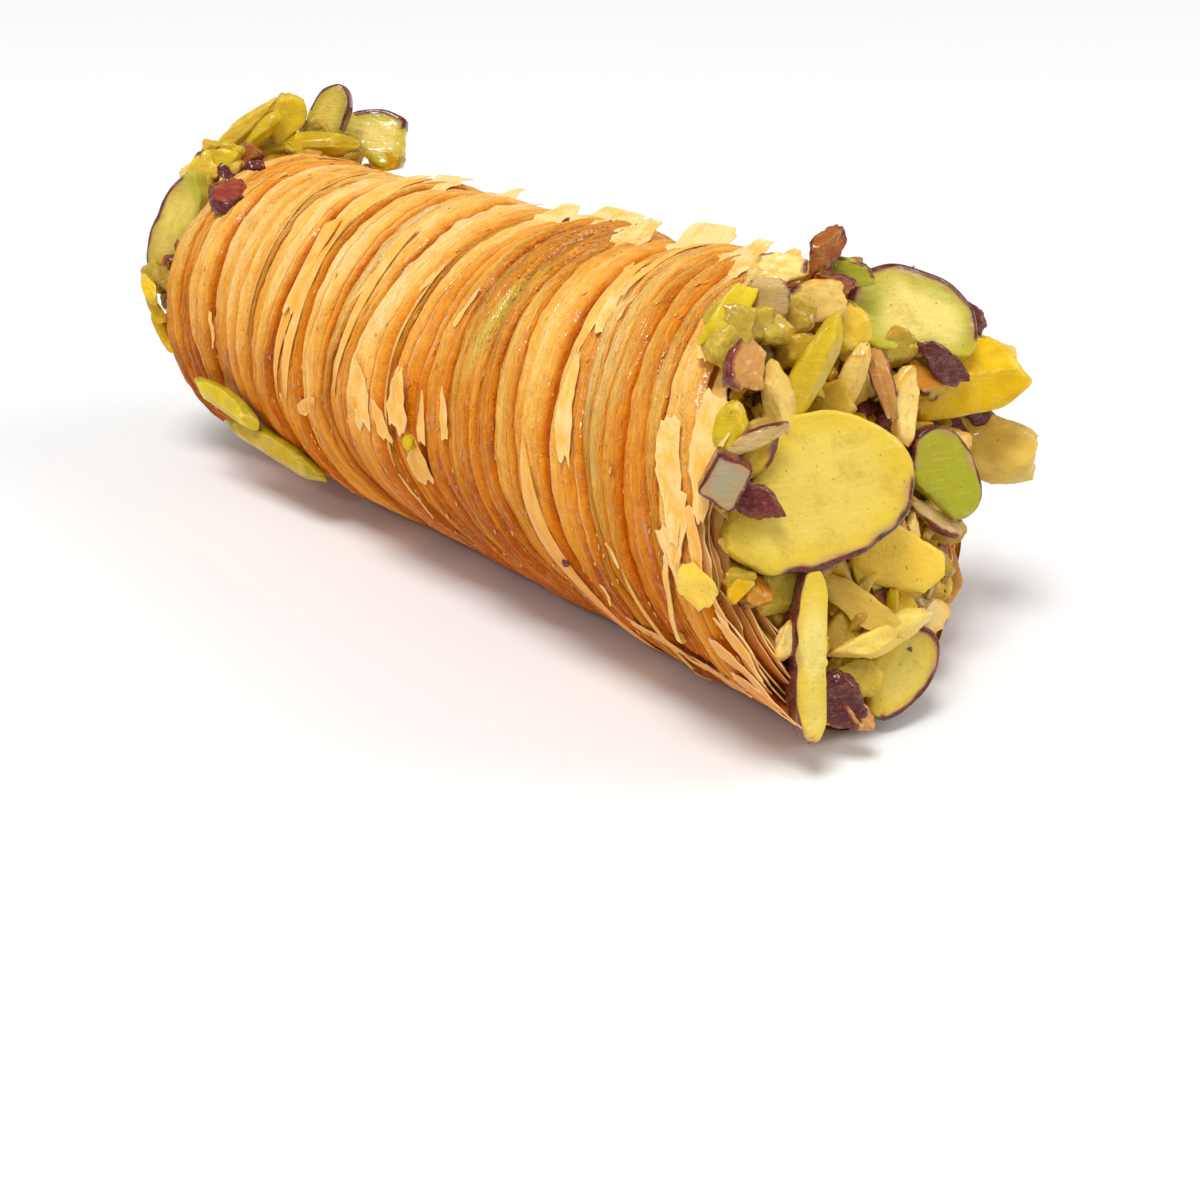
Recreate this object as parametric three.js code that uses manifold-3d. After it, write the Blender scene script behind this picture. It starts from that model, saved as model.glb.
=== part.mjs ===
// Pistachio baklava roll: thin pastry leaves gathered into uneven rings round a pistachio cream core.
// Both cut ends are heaped with chopped pistachios and larger kernel slices.
// Millimetres. X runs along the roll towards its fuller front end, Z is up, the roll rests on z = 0.
import * as THREE from 'three';
import { mergeVertices } from 'three/addons/utils/BufferGeometryUtils.js';
import Module from 'manifold-3d';

const wasm = await Module();
wasm.setup();

// ---- driving dimensions ----
const FRONT = { cut: 43.5, sign: 1, radius: 18.0, leanY: -0.1, leanZ: -0.36 };
const BACK = { cut: -39.0, sign: -1, radius: 16.2, leanY: 0.05, leanZ: -0.03 };
const WALL = 4.8;            // thickness of the gathered leaves
const GAP = 0.3;             // clearance between neighbouring solids
const FLAT = 0.6;            // height pressed flat where the roll rests
const PLEATS = 28;           // gathered rings along the roll
const PLEAT_DEPTH = 1.05;    // mean depth of the creases between them
const PLEAT_UNEVEN = 0.38;   // spread of ring widths and depths, as a share of the mean
const RING_WANDER = 0.7;     // how far a ring strays from a true circle
const SIDES = 24;            // facets round the roll
const BEVEL = 0.35;          // softened edge of a kernel slice
const OUTLINE_POINTS = 16;   // points round a kernel slice

// Chopped nuts on each end: reach of the heap and its spread towards one clock angle, the rise of the
// packed middle above the cut, and the number and mean half-sizes of the pieces that stand out of it.
const HEAPS = {
  nuts_front: { end: FRONT, reach: 17.8, spread: 2.4, towards: 45, rise: 3.0,
    pieces: 32, half: [2.7, 1.9, 1.5] },
  nuts_back: { end: BACK, reach: 16.2, spread: 2.4, towards: 85, rise: 2.2,
    pieces: 25, half: [2.5, 1.8, 1.4] },
};
const HEAP_SIDES = 16;       // facets round the packed middle
const HEAP_UNDERCUT = 2.4;   // how far its foot sits in from its widest ring
const CHIP_TAPER = 0.62;     // width of a chopped chip's narrow face, as a share of its broad one

// Kernel slices: where each sits on its end (clock angle, distance out, lift above the cut), its size,
// which way its face looks (azimuth, elevation), how it is spun in its own plane, and the knife cuts
// that trim the oval kernel, each as [direction, distance from the middle].
const SLICES = [
  { name: 'slice_front_broad', end: FRONT, clock: 151, out: 10.0, lift: 5.2, size: [18.0, 12.2, 2.2],
    faces: [-20, 26], spin: 4, cuts: [[139, 5.0], [163, 6.9]] },
  { name: 'slice_front_top', end: FRONT, clock: 56, out: 16.5, lift: 4.6, size: [12.3, 8.5, 2.0],
    faces: [-18, 30], spin: -23, cuts: [[-78, 3.0], [211, 5.7]] },
  { name: 'wedge_front', end: FRONT, clock: 27, out: 16.0, lift: 5.6, size: [10.4, 6.2, 4.2],
    faces: [-26, 8], spin: 1, cuts: [[95, 2.6], [-11, 4.9], [169, 4.6], [-95, 2.5]] },
  { name: 'kernel_front_green', end: FRONT, clock: 7, out: 9.4, lift: 4.0, size: [8.5, 5.7, 4.0],
    faces: [-25, 16], spin: -70, cuts: [] },
  { name: 'slab_front', end: FRONT, clock: 294, out: 4.9, lift: 4.6, size: [9.6, 5.2, 2.4],
    faces: [-24, 32], spin: -11, cuts: [[36, 2.3], [16, 4.4], [-45, 2.4]] },
  { name: 'sliver_front_long', end: FRONT, clock: 212, out: 13.7, lift: 4.0, size: [14.2, 3.3, 3.0],
    faces: [-28, 18], spin: 86, cuts: [[-90, 1.1], [5, 6.8], [188, 6.8]] },
  { name: 'slice_front_low', end: FRONT, clock: 265, out: 12.7, lift: 3.6, size: [9.4, 5.9, 2.0],
    faces: [-20, 20], spin: 38, cuts: [[139, 2.7], [182, 3.9]] },
  { name: 'slice_back_side', end: BACK, clock: 140, out: 16.0, lift: 2.4, size: [12.7, 5.2, 2.0],
    faces: [-72, 12], spin: 63, cuts: [[-91, 2.4], [-40, 4.7]] },
  { name: 'sliver_back_top', end: BACK, clock: 82, out: 16.8, lift: 1.4, size: [14.2, 2.6, 2.4],
    faces: [-50, 30], spin: 7, cuts: [[8, 6.0]] },
  { name: 'slice_back_peak', end: BACK, clock: 67, out: 20.4, lift: 3.0, size: [8.3, 4.3, 2.0],
    faces: [-50, 20], spin: 67, cuts: [[178, 2.8], [222, 4.0]] },
  { name: 'slice_back_far', end: BACK, clock: 47, out: 21.2, lift: 3.0, size: [10.2, 6.5, 2.2],
    faces: [-45, 25], spin: -11, cuts: [[248, 2.6], [6, 3.1]] },
];

// Two slivers stuck along the lower flank near the back: distance along the roll and angle round it.
const FLANK_SLIVERS = [
  { name: 'sliver_flank_rear', along: -27.5, round: 198, stand: 1.3, size: [12.6, 3.2, 2.4],
    faces: [-92, -18], spin: -8 },
  { name: 'sliver_flank_front', along: -20.5, round: 210, stand: 1.5, size: [17.0, 3.6, 2.6],
    faces: [-90, -30], spin: -9 },
];

// ---- helpers ----
const rad = THREE.MathUtils.degToRad;
const smooth = THREE.MathUtils.smoothstep;
const scatter = (n) => THREE.MathUtils.euclideanModulo(Math.sin(n * 12.9898 + 4.13) * 43758.5453, 1);
const uneven = (n) => 1 + PLEAT_UNEVEN * (2 * scatter(n) - 1);
const radiusAt = (x) => THREE.MathUtils.mapLinear(x, BACK.cut, FRONT.cut, BACK.radius, FRONT.radius);
const leanOf = (end, y, z) => end.leanY * y + end.leanZ * z;

function material(color, roughness) {
  return new THREE.MeshStandardMaterial({ color, roughness, metalness: 0 });
}
const crust = material(0xd59a4b, 0.45);
const cream = material(0x9c9a3c, 0.55);
const chopped = material(0x8f8b34, 0.6);
const kernel = material(0xd8cc5c, 0.5);

// A closed surface through rings of equal length; the rings either end in two poles or close on themselves.
function ringBody(rings, poles) {
  const count = rings[0].length;
  const points = rings.flat();
  const faces = [];
  const last = poles ? rings.length - 1 : rings.length;
  for (let i = 0; i < last; i++) {
    const next = (i + 1) % rings.length;
    for (let j = 0; j < count; j++) {
      const k = (j + 1) % count;
      const [a, b] = [i * count + j, i * count + k];
      const [c, d] = [next * count + k, next * count + j];
      faces.push(a, b, c, a, c, d);
    }
  }
  if (poles) {
    const start = points.push(poles[0]) - 1;
    const finish = points.push(poles[1]) - 1;
    const base = (rings.length - 1) * count;
    for (let j = 0; j < count; j++) {
      const k = (j + 1) % count;
      faces.push(start, k, j, finish, base + j, base + k);
    }
  }
  const geometry = new THREE.BufferGeometry();
  geometry.setFromPoints(points);
  geometry.setIndex(faces);
  return geometry;
}

function toSolid(geometry, matrix = new THREE.Matrix4()) {
  const bare = geometry.clone().applyMatrix4(matrix);
  bare.deleteAttribute('normal');
  bare.deleteAttribute('uv');
  const welded = mergeVertices(bare, 1e-4);
  const vertProperties = new Float32Array(welded.attributes.position.array);
  const triVerts = new Uint32Array(welded.index.array);
  return new wasm.Manifold(new wasm.Mesh({ numProp: 3, vertProperties, triVerts }));
}

// The largest piece left when the cutters are taken from a solid, as a geometry in the frame of `matrix`.
function carve(solid, cutters, matrix = new THREE.Matrix4()) {
  const pieces = cutters.reduce((body, cutter) => body.subtract(cutter), solid).decompose();
  const largest = pieces.reduce((best, piece) => (piece.volume() > best.volume() ? piece : best));
  const { vertProperties, triVerts } = largest.getMesh();
  const geometry = new THREE.BufferGeometry();
  geometry.setAttribute('position', new THREE.BufferAttribute(new Float32Array(vertProperties), 3));
  geometry.setIndex([...triVerts]);
  geometry.applyMatrix4(matrix.clone().invert());
  geometry.computeVertexNormals();
  return geometry;
}

// ---- pastry ----
// Along the roll: each pleat rises steeply from its crease to a crest and rolls over to the next crease.
const PLEAT_STEPS = [{ at: 0, depth: 1 }, { at: 0.3, depth: 0 }, { at: 0.72, depth: 0.22 }];
const pleatWidths = Array.from({ length: PLEATS }, (_, i) => uneven(i));
const pleatTotal = pleatWidths.reduce((sum, width) => sum + width, 0);

function pleatRings() {
  const rings = [];
  let start = 0;
  pleatWidths.forEach((width, i) => {
    for (const step of PLEAT_STEPS) {
      const depth = step.depth * PLEAT_DEPTH * uneven(i + 50);
      rings.push({ t: (start + step.at * width) / pleatTotal, depth });
    }
    start += width;
  });
  rings.push({ t: 1, depth: PLEAT_DEPTH });
  return rings;
}

// A point of the roll's skin: t runs from the back cut to the front cut, round is the angle about the axis.
function skinPoint(t, round, depth, grow) {
  const x = THREE.MathUtils.lerp(BACK.cut - grow, FRONT.cut + grow, t);
  const base = radiusAt(x);
  const [c, s] = [Math.cos(round), Math.sin(round)];
  const pressed = smooth(-s, 0.55, 0.97);
  const swell = 0.25 * Math.sin(3 * round + 9 * t) + 0.2 * Math.sin(2 * round - 23 * t);
  const radius = base - depth * (1 - pressed) + swell * (1 - pressed) + grow;
  const fanFront = smooth(t, 0.5, 1);
  const fanBack = 1 - smooth(t, 0, 0.4);
  const wander = RING_WANDER * Math.sin(2 * round + 11 * t) * Math.sin(Math.PI * t);
  const [y, z] = [radius * c, radius * s];
  const lean = fanFront * leanOf(FRONT, y, z) + fanBack * leanOf(BACK, y, z);
  return new THREE.Vector3(x + lean + wander, y, Math.max(base + z, FLAT - grow) - FLAT);
}

const roundAngles = Array.from({ length: SIDES }, (_, j) => (2 * Math.PI * (j + 0.5)) / SIDES);

// The skin's rings, with creases of full depth or, for a share of 0, a smooth skin over the crests.
function skinRings(share, grow) {
  const ring = ({ t, depth }) => roundAngles.map((round) => skinPoint(t, round, share * depth, grow));
  return pleatRings().map(ring);
}

// A ring on the plane of a cut, `inset` inside the outer radius and `lift` proud of the cut.
function cutPoint(end, out, round, lift) {
  const [y, z] = [out * Math.cos(round), out * Math.sin(round)];
  const x = end.cut + end.sign * lift + leanOf(end, y, z);
  return new THREE.Vector3(x, y, end.radius + z - FLAT);
}
const cutRing = (end, inset, lift) =>
  roundAngles.map((round) => cutPoint(end, end.radius - inset, round, lift));

function pastryTube() {
  return ringBody([...skinRings(1, 0), cutRing(FRONT, WALL, 0), cutRing(BACK, WALL, 0)], null);
}

// The roll with its bore filled, grown by the clearance: what the nuts on it are trimmed against.
function rollEnvelope() {
  const poles = [cutPoint(BACK, 0, 0, GAP), cutPoint(FRONT, 0, 0, GAP)];
  return ringBody(skinRings(0, GAP), poles);
}

function creamCore() {
  const rings = [cutRing(BACK, WALL + GAP, 0), cutRing(FRONT, WALL + GAP, 0)];
  return ringBody(rings, [cutPoint(BACK, 0, 0, 0), cutPoint(FRONT, 0, 0, 0)]);
}

// ---- chopped nuts heaped on a cut end ----
// The packed middle: a low dome over the cut, wider than its foot.
function heapCore(end, edge, rise) {
  const rounds = Array.from({ length: HEAP_SIDES }, (_, j) => (2 * Math.PI * j) / HEAP_SIDES);
  const ring = (share, inset, lift) =>
    rounds.map((round) => cutPoint(end, share * edge(round) - inset, round, lift));
  const rings = [
    ring(1, HEAP_UNDERCUT, GAP),
    ring(1, 0, GAP + 0.45 * rise),
    ring(0.8, 0, GAP + 0.85 * rise),
    ring(0.4, 0, GAP + rise),
  ];
  const poles = [cutPoint(end, 0, 0, GAP), cutPoint(end, 0, 0, GAP + rise)];
  return end.sign > 0 ? ringBody(rings, poles) : ringBody(rings.reverse(), poles.reverse());
}

// A chip as the knife leaves it: a block that narrows towards one face.
function chipBlock() {
  const block = new THREE.BoxGeometry(2, 2, 2);
  const corners = block.attributes.position;
  for (let i = 0; i < corners.count; i++) {
    const narrow = corners.getZ(i) > 0 ? CHIP_TAPER : 1;
    corners.setXY(i, corners.getX(i) * narrow, corners.getY(i) * narrow);
  }
  return block;
}

// One chopped piece, of its own size and turn.
function choppedPiece(half, place, seed) {
  const size = half.map((h, axis) => h * (0.75 + 0.5 * scatter(seed + 0.31 * axis)));
  const turns = [11, 23, 37].map((offset) => 2 * Math.PI * scatter(seed + offset));
  const turn = new THREE.Quaternion().setFromEuler(new THREE.Euler(...turns));
  return toSolid(chipBlock(), new THREE.Matrix4().compose(place, turn, new THREE.Vector3(...size)));
}

function nutHeap({ end, reach, spread, towards, rise, pieces, half }) {
  const floorRoom = end.radius - FLAT - half[0] - 0.8;
  const edge = (round) => {
    const out = reach + spread * Math.cos(round - rad(towards)) + 0.5 * Math.sin(7 * round);
    return Math.sin(round) < 0 ? Math.min(out, floorRoom / -Math.sin(round)) : out;
  };
  const turn = Math.PI * (3 - Math.sqrt(5));
  let heap = toSolid(heapCore(end, edge, rise));
  for (let i = 0; i < pieces; i++) {
    const share = Math.sqrt((i + 0.5) / pieces);
    const lift = GAP + rise * (1.05 - 0.5 * share ** 3) + 0.5 * (scatter(i) - 0.3);
    heap = heap.add(choppedPiece(half, cutPoint(end, share * edge(i * turn), i * turn, lift), i + end.cut));
  }
  return heap;
}

// ---- kernel slices ----
// An oval kernel trimmed by straight knife cuts, thickness along its own Z. A grown one has sharp edges.
function sliceGeometry([length, width, thickness], cuts, grow) {
  const [a, b] = [length / 2, width / 2];
  const bevel = grow > 0 ? 0 : BEVEL;
  const points = Array.from({ length: OUTLINE_POINTS }, (_, i) => {
    const angle = (2 * Math.PI * i) / OUTLINE_POINTS;
    const oval = (a * b) / Math.hypot(b * Math.cos(angle), a * Math.sin(angle));
    const trimmed = cuts.map(([direction, distance]) => {
      const towards = Math.cos(angle - rad(direction));
      return towards > 0.01 ? distance / towards : oval;
    });
    const reach = Math.min(oval, ...trimmed) + grow - bevel;
    return new THREE.Vector2(reach * Math.cos(angle), reach * Math.sin(angle));
  });
  const geometry = new THREE.ExtrudeGeometry(new THREE.Shape(points), {
    depth: thickness + 2 * (grow - bevel), bevelEnabled: bevel > 0,
    bevelThickness: bevel, bevelSize: bevel, bevelSegments: 1,
  });
  return geometry.translate(0, 0, bevel - grow - thickness / 2);
}

// Turns a slice so that its face looks along the given azimuth and elevation, then spins it in its plane.
function turnSlice(mesh, [azimuth, elevation], spin) {
  const [a, e] = [rad(azimuth), rad(elevation)];
  const normal = new THREE.Vector3(Math.cos(e) * Math.cos(a), Math.cos(e) * Math.sin(a), Math.sin(e));
  const across = new THREE.Vector3(-Math.sin(a), Math.cos(a), 0);
  const upward = new THREE.Vector3().crossVectors(normal, across);
  mesh.quaternion.setFromRotationMatrix(new THREE.Matrix4().makeBasis(across, upward, normal));
  mesh.rotateZ(rad(spin));
}

const envelope = toSolid(rollEnvelope());

// Lays a slice down clear of the roll and of the slices already laid, and returns it with its grown solid.
function laySlice({ name, size, cuts = [], faces, spin = 0 }, place, laid) {
  const mesh = new THREE.Mesh(sliceGeometry(size, cuts, 0), kernel);
  mesh.name = name;
  mesh.position.copy(place);
  turnSlice(mesh, faces, spin);
  mesh.updateMatrixWorld();
  const grown = toSolid(sliceGeometry(size, cuts, GAP + BEVEL / 2), mesh.matrixWorld);
  mesh.geometry = carve(toSolid(mesh.geometry, mesh.matrixWorld), [envelope, ...laid], mesh.matrixWorld);
  return { mesh, grown };
}

// ---- assembly ----
const roll = new THREE.Group();

function addMesh(name, geometry, finish) {
  geometry.computeVertexNormals();
  const mesh = new THREE.Mesh(geometry, finish);
  mesh.name = name;
  roll.add(mesh);
}

addMesh('pastry', pastryTube(), crust);
addMesh('pistachio_cream', creamCore(), cream);

const grownSlices = [];
for (const slice of SLICES) {
  const { end, clock, out, lift } = slice;
  const { mesh, grown } = laySlice(slice, cutPoint(end, out, rad(clock), lift), grownSlices);
  grownSlices.push(grown);
  roll.add(mesh);
}
for (const sliver of FLANK_SLIVERS) {
  const radius = radiusAt(sliver.along);
  const [c, s] = [Math.cos(rad(sliver.round)), Math.sin(rad(sliver.round))];
  const reach = radius + sliver.stand;
  const place = new THREE.Vector3(sliver.along, reach * c, radius + reach * s - FLAT);
  const { mesh, grown } = laySlice(sliver, place, grownSlices);
  grownSlices.push(grown);
  roll.add(mesh);
}
for (const [name, heap] of Object.entries(HEAPS)) {
  addMesh(name, carve(nutHeap(heap), [envelope, ...grownSlices]), chopped);
}

// The origin is the middle of the box's base.
const box = new THREE.Box3().setFromObject(roll);
const middle = box.getCenter(new THREE.Vector3());
const object = new THREE.Group();
object.add(roll);
roll.position.set(-middle.x, -middle.y, 0);

export default object;
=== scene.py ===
"""Pistachio baklava roll: gathered leaves, torn flakes, cream, chopped nuts and kernel slices. Z is up."""

from collections import namedtuple
from math import asin, atan2, cos, degrees, exp, pi, radians, sin, sqrt

import bmesh
import bpy
import numpy as np
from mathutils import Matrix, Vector


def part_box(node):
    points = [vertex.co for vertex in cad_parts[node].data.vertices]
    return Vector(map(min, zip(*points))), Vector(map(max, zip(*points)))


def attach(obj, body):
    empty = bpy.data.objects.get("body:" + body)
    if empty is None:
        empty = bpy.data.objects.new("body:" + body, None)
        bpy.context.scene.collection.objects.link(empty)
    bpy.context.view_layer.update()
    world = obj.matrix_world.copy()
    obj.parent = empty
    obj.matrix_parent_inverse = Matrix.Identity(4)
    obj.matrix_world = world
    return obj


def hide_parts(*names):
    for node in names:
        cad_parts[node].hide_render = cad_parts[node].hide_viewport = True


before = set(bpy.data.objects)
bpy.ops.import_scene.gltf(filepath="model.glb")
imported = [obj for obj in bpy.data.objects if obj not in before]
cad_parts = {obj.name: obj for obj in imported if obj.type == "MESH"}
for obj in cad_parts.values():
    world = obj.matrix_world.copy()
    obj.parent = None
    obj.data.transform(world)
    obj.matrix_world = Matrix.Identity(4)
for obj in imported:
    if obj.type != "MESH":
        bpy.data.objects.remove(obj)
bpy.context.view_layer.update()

# ---- measures of the roll in millimetres, X along it towards the fuller front end ----
End = namedtuple("End", "cut sign radius lean")      # where it is cut, which way it looks, radius, slant
FRONT = End(43.5, 1, 18.0, (-0.1, -0.36))
BACK = End(-39.0, -1, 16.2, (0.05, -0.03))
LENGTH = FRONT.cut - BACK.cut
WALL = 4.8             # thickness of the gathered leaves
GAP = 0.3              # clearance round the cream
FLAT = 0.6             # height pressed flat where the roll rests
FOLDS = 28             # gathered folds along the roll
FOLD_WIDTH = LENGTH / FOLDS
FOLD_DEPTH = 1.15      # mean depth of the creases between folds
LEAVES = 3             # leaves lying over each other in a fold
LEAF_STEPS = (0, .06, .16, .34, .6, .84, .96)        # points across each leaf
# fine ribs along the folds: depth, squeeze round the roll, size, start of their chances, waves
RIBS = ((0.05, 0.4, 0.5, 21, 20), (0.05, 3, 1.6, 22, 18), (0.04, 2.4, 0.8, 23, 24))
CUT_RINGS = 11         # leaf edges to be seen in a cut
RIM_SHEET, FLAKE_SHEET, STRIP_SHEET = 0.12, 0.07, 0.09       # thickness of single leaves
SMALL_FLAKES, STRIPS, BEAD_TRIES = 30, 26, 1600              # how many are strewn over the skin
RIM_ROWS, STRIP_COLUMNS, FLAKE_COLUMNS, FLAKE_ROWS = 6, 44, 11, 17      # points across and along them
COLUMNS, CORE_COLUMNS, BED_COLUMNS, SLICE_COLUMNS = 276, 96, 150, 160      # points round each part
FLAKE_DICE, STRIP_DICE, BEAD_DICE, BIT_DICE = 77, 91, 55, 7000             # where each run of chances starts
GRAIN_RADIUS = 17.0    # radius by which the grain of loose strips is measured round the roll
FULL = 2 * pi
UNDERSIDE = -pi / 2


# ---- plain helpers ----
def chance(seed):
    return np.random.default_rng(seed)


def smooth(value, low, high):
    """0 at low, 1 at high, eased between."""
    t = np.clip((value - low) / (high - low), 0.0, 1.0)
    return t * t * (3 - 2 * t)


def bell(value, middle, width):
    """1 at the middle, falling away over the width on both sides."""
    return np.exp(-((value - middle) / width) ** 2)


def mix(first, second, share):
    share = np.asarray(share)[..., None]
    return first * (1 - share) + second * share


def shade(red, green, blue):
    """A colour given as it looks on a screen, 0 to 255, as the light that it stands for."""
    parts = [c / 255 for c in (red, green, blue)]
    return tuple(c / 12.92 if c <= 0.04045 else ((c + 0.055) / 1.055) ** 2.4 for c in parts)


def polar(radius, turn):
    return radius * np.cos(turn), radius * np.sin(turn)


def ripple(points, size, seed, waves=12):
    """Smooth unevenness over points in space, mostly within -1 to 1, with bumps about `size` across."""
    dice = chance(seed)
    directions = dice.normal(size=(waves, points.shape[-1]))
    directions /= np.linalg.norm(directions, axis=1, keepdims=True)
    directions *= dice.uniform(0.6, 1.5, (waves, 1)) * pi / size
    phases = dice.uniform(0, FULL, waves)
    return np.sin(points @ directions.T + phases).sum(-1) / (1.3 * sqrt(waves / 2))


def round_ripple(turn, along, bumps, seed):
    """Unevenness round the roll that meets itself, with about `bumps` bumps to a turn."""
    return ripple(np.stack([*polar(1, turn), along + 0 * turn], axis=-1), pi / bumps, seed)


def end_point(end, out, turn, lift):
    """A point on the plane of a cut end, `out` from its middle and `lift` proud of it."""
    y, z = polar(out, turn)
    x = end.cut + end.sign * lift + end.lean[0] * y + end.lean[1] * z
    return np.stack([x, y, end.radius + z - FLAT], axis=-1)


def radius_at(x):
    return BACK.radius + (FRONT.radius - BACK.radius) * (x - BACK.cut) / LENGTH


def swept(turn, t):
    """How far the folds run forward low on the near side, or back low on the far side."""
    near = 6.5 * bell(turn % FULL, radians(231), 0.46)
    far = 3.0 * bell(turn % FULL, radians(318), 0.4)
    return (near - far) * smooth(t, -0.02, 0.25) * (1 - smooth(t, 0.72, 1.0))


def skin_point(x, turn, rise):
    """A point on the roll's skin, `rise` proud of the crests; rings fan out to follow the two cuts."""
    t = (x - BACK.cut) / LENGTH
    base = radius_at(x)
    pressed = smooth(-np.sin(turn), 0.55, 0.97)
    swell = 0.25 * np.sin(3 * turn + 9 * t) + 0.2 * np.sin(2 * turn - 23 * t)
    y, z = polar(base + (rise + swell) * (1 - pressed), turn)
    lean = smooth(t, 0.5, 1.0) * (FRONT.lean[0] * y + FRONT.lean[1] * z)
    lean += (1 - smooth(t, 0.0, 0.4)) * (BACK.lean[0] * y + BACK.lean[1] * z)
    wander = 0.7 * np.sin(2 * turn + 11 * t) * np.sin(pi * np.clip(t, 0, 1))
    return np.stack([x + lean + wander + swept(turn, t), y, np.maximum(base + z, FLAT) - FLAT], axis=-1)


def find_origin():
    """Where the roll's own zero lies in the frame, from the box of the cream core, a rod of 24 sides."""
    low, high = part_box("pistachio_cream")
    turns = np.radians(15 * (np.arange(24) + 0.5))
    ring = end_point(FRONT, FRONT.radius - WALL - GAP, turns, 0.0)
    return np.array([1000 * high.x - ring[:, 0].max(), 500 * (low.y + high.y), 0.0])


ORIGIN = find_origin()


def face_frame(azimuth, elevation, spin):
    """Three directions of a piece whose face looks along the azimuth and elevation, spun in its plane."""
    a, e, s = radians(azimuth), radians(elevation), radians(spin)
    normal = np.array([cos(e) * cos(a), cos(e) * sin(a), sin(e)])
    across = np.array([-sin(a), cos(a), 0.0])
    upward = np.cross(normal, across)
    return np.array([across * cos(s) + upward * sin(s), upward * cos(s) - across * sin(s), normal])


def ball(detail):
    bm = bmesh.new()
    bmesh.ops.create_icosphere(bm, subdivisions=detail, radius=1.0)
    points = np.array([v.co[:] for v in bm.verts])
    faces = [[v.index for v in face.verts] for face in bm.faces]
    bm.free()
    return points, faces


CRUMB, BIT, NAMED_BIT, CHUNK = 2, 3, 4, 5      # how finely a body is divided
BALLS = {detail: ball(detail) for detail in (CRUMB, BIT, NAMED_BIT, CHUNK)}


# ---- making pieces ----
def make_piece(name, points, faces, finish, fields=None, stands_for=(), sharp=None):
    """One mesh piece from points in millimetres, with its named fields, riding on the roll."""
    mesh = bpy.data.meshes.new(name)
    mesh.from_pydata(((np.reshape(points, (-1, 3)) + ORIGIN) / 1000).tolist(), [], faces)
    for label, values in (fields or {}).items():
        kind, part = ("FLOAT", "value") if values.ndim == 1 else ("FLOAT_VECTOR", "vector")
        data = mesh.attributes.new(label, kind, "POINT").data
        data.foreach_set(part, values.astype(np.float32).ravel())
    mesh.polygons.foreach_set("use_smooth", [True] * len(mesh.polygons))
    if sharp:
        mesh.set_sharp_from_angle(angle=radians(sharp))
    mesh.materials.append(finish)
    mesh.update()
    piece = bpy.data.objects.new(name, mesh)
    bpy.context.scene.collection.objects.link(piece)
    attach(piece, "root")
    if stands_for:
        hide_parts(*stands_for)


def grid_faces(rows, columns, wrap_rows=False, wrap_columns=False, start=0):
    """Quads over a grid of points numbered row by row."""
    i = np.arange(rows if wrap_rows else rows - 1)[:, None]
    j = np.arange(columns if wrap_columns else columns - 1)[None, :]
    here, over = i * columns, (i + 1) % rows * columns
    across = (j + 1) % columns
    quads = np.stack(np.broadcast_arrays(here + j, here + across, over + across, over + j), -1)
    return (quads.reshape(-1, 4) + start).tolist()


def tube_faces(rows, columns, flipped=False):
    """Quads over rings one after another, closed by a face at both ends."""
    faces = grid_faces(rows, columns, wrap_columns=True)
    faces += [list(range(columns))[::-1], [(rows - 1) * columns + j for j in range(columns)]]
    return [face[::-1] for face in faces] if flipped else faces


def thin_sheet(grid, thickness):
    """A leaf of pastry with two faces and closed edges, from a grid of points."""
    rows, columns = grid.shape[:2]
    normals = np.cross(np.gradient(grid, axis=0), np.gradient(grid, axis=1))
    normals = normals / np.maximum(np.linalg.norm(normals, axis=-1, keepdims=True), 1e-9)
    top, under = grid + normals * thickness / 2, grid - normals * thickness / 2
    count = rows * columns
    faces = [face[::-1] for face in grid_faces(rows, columns)] + grid_faces(rows, columns, start=count)
    edge = [*range(columns)] + [(i + 1) * columns - 1 for i in range(1, rows)]
    edge += [(rows - 1) * columns + j for j in range(columns - 2, -1, -1)]
    edge += [i * columns for i in range(rows - 2, 0, -1)]
    for a, b in zip(edge, edge[1:] + edge[:1]):
        faces.append([a, b, b + count, a + count])
    return np.concatenate([top.reshape(-1, 3), under.reshape(-1, 3)]), faces


class Pile:
    """Many small bodies gathered into one piece, each with its own fields."""

    def __init__(self):
        self.points, self.faces, self.fields, self.count = [], [], {}, 0

    def add(self, points, faces, **fields):
        self.points.append(points)
        self.faces += [[corner + self.count for corner in face] for face in faces]
        for label, values in fields.items():
            self.fields.setdefault(label, []).append(values)
        self.count += len(points)

    def add_sheet(self, grid, thickness, grain, tone, rim):
        """A thin sheet with its fields on both faces."""
        both = {"tone": np.tile(tone.ravel(), 2), "rim": np.tile(rim.ravel(), 2)}
        self.add(*thin_sheet(grid, thickness), grain=np.tile(grain.reshape(-1, 3), (2, 1)), **both)

    def make(self, name, finish, slot, stands_for=(), sharp=None):
        fields = {label: np.concatenate(parts) for label, parts in self.fields.items()}
        make_piece(name, np.concatenate(self.points), self.faces, finish, fields, stands_for, sharp)


# ---- finishes ----
class Term:
    """One value of a finish, open to plain sums."""

    def __init__(self, finish, socket):
        self.finish, self.socket = finish, socket

    def sum(self, operation, first, second):
        return self.finish.add("ShaderNodeMath", {"operation": operation}, {0: first, 1: second})

    def __add__(self, other):
        return self.sum("ADD", self, other)

    def __radd__(self, other):
        return self.sum("ADD", other, self)

    def __sub__(self, other):
        return self.sum("SUBTRACT", self, other)

    def __rsub__(self, other):
        return self.sum("SUBTRACT", other, self)

    def __mul__(self, other):
        return self.sum("MULTIPLY", self, other)

    def __rmul__(self, other):
        return self.sum("MULTIPLY", other, self)

    def swing(self, by):
        """A value between 0 and 1 as a change to either side, half of `by` at most."""
        return (self - 0.5) * by


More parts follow.
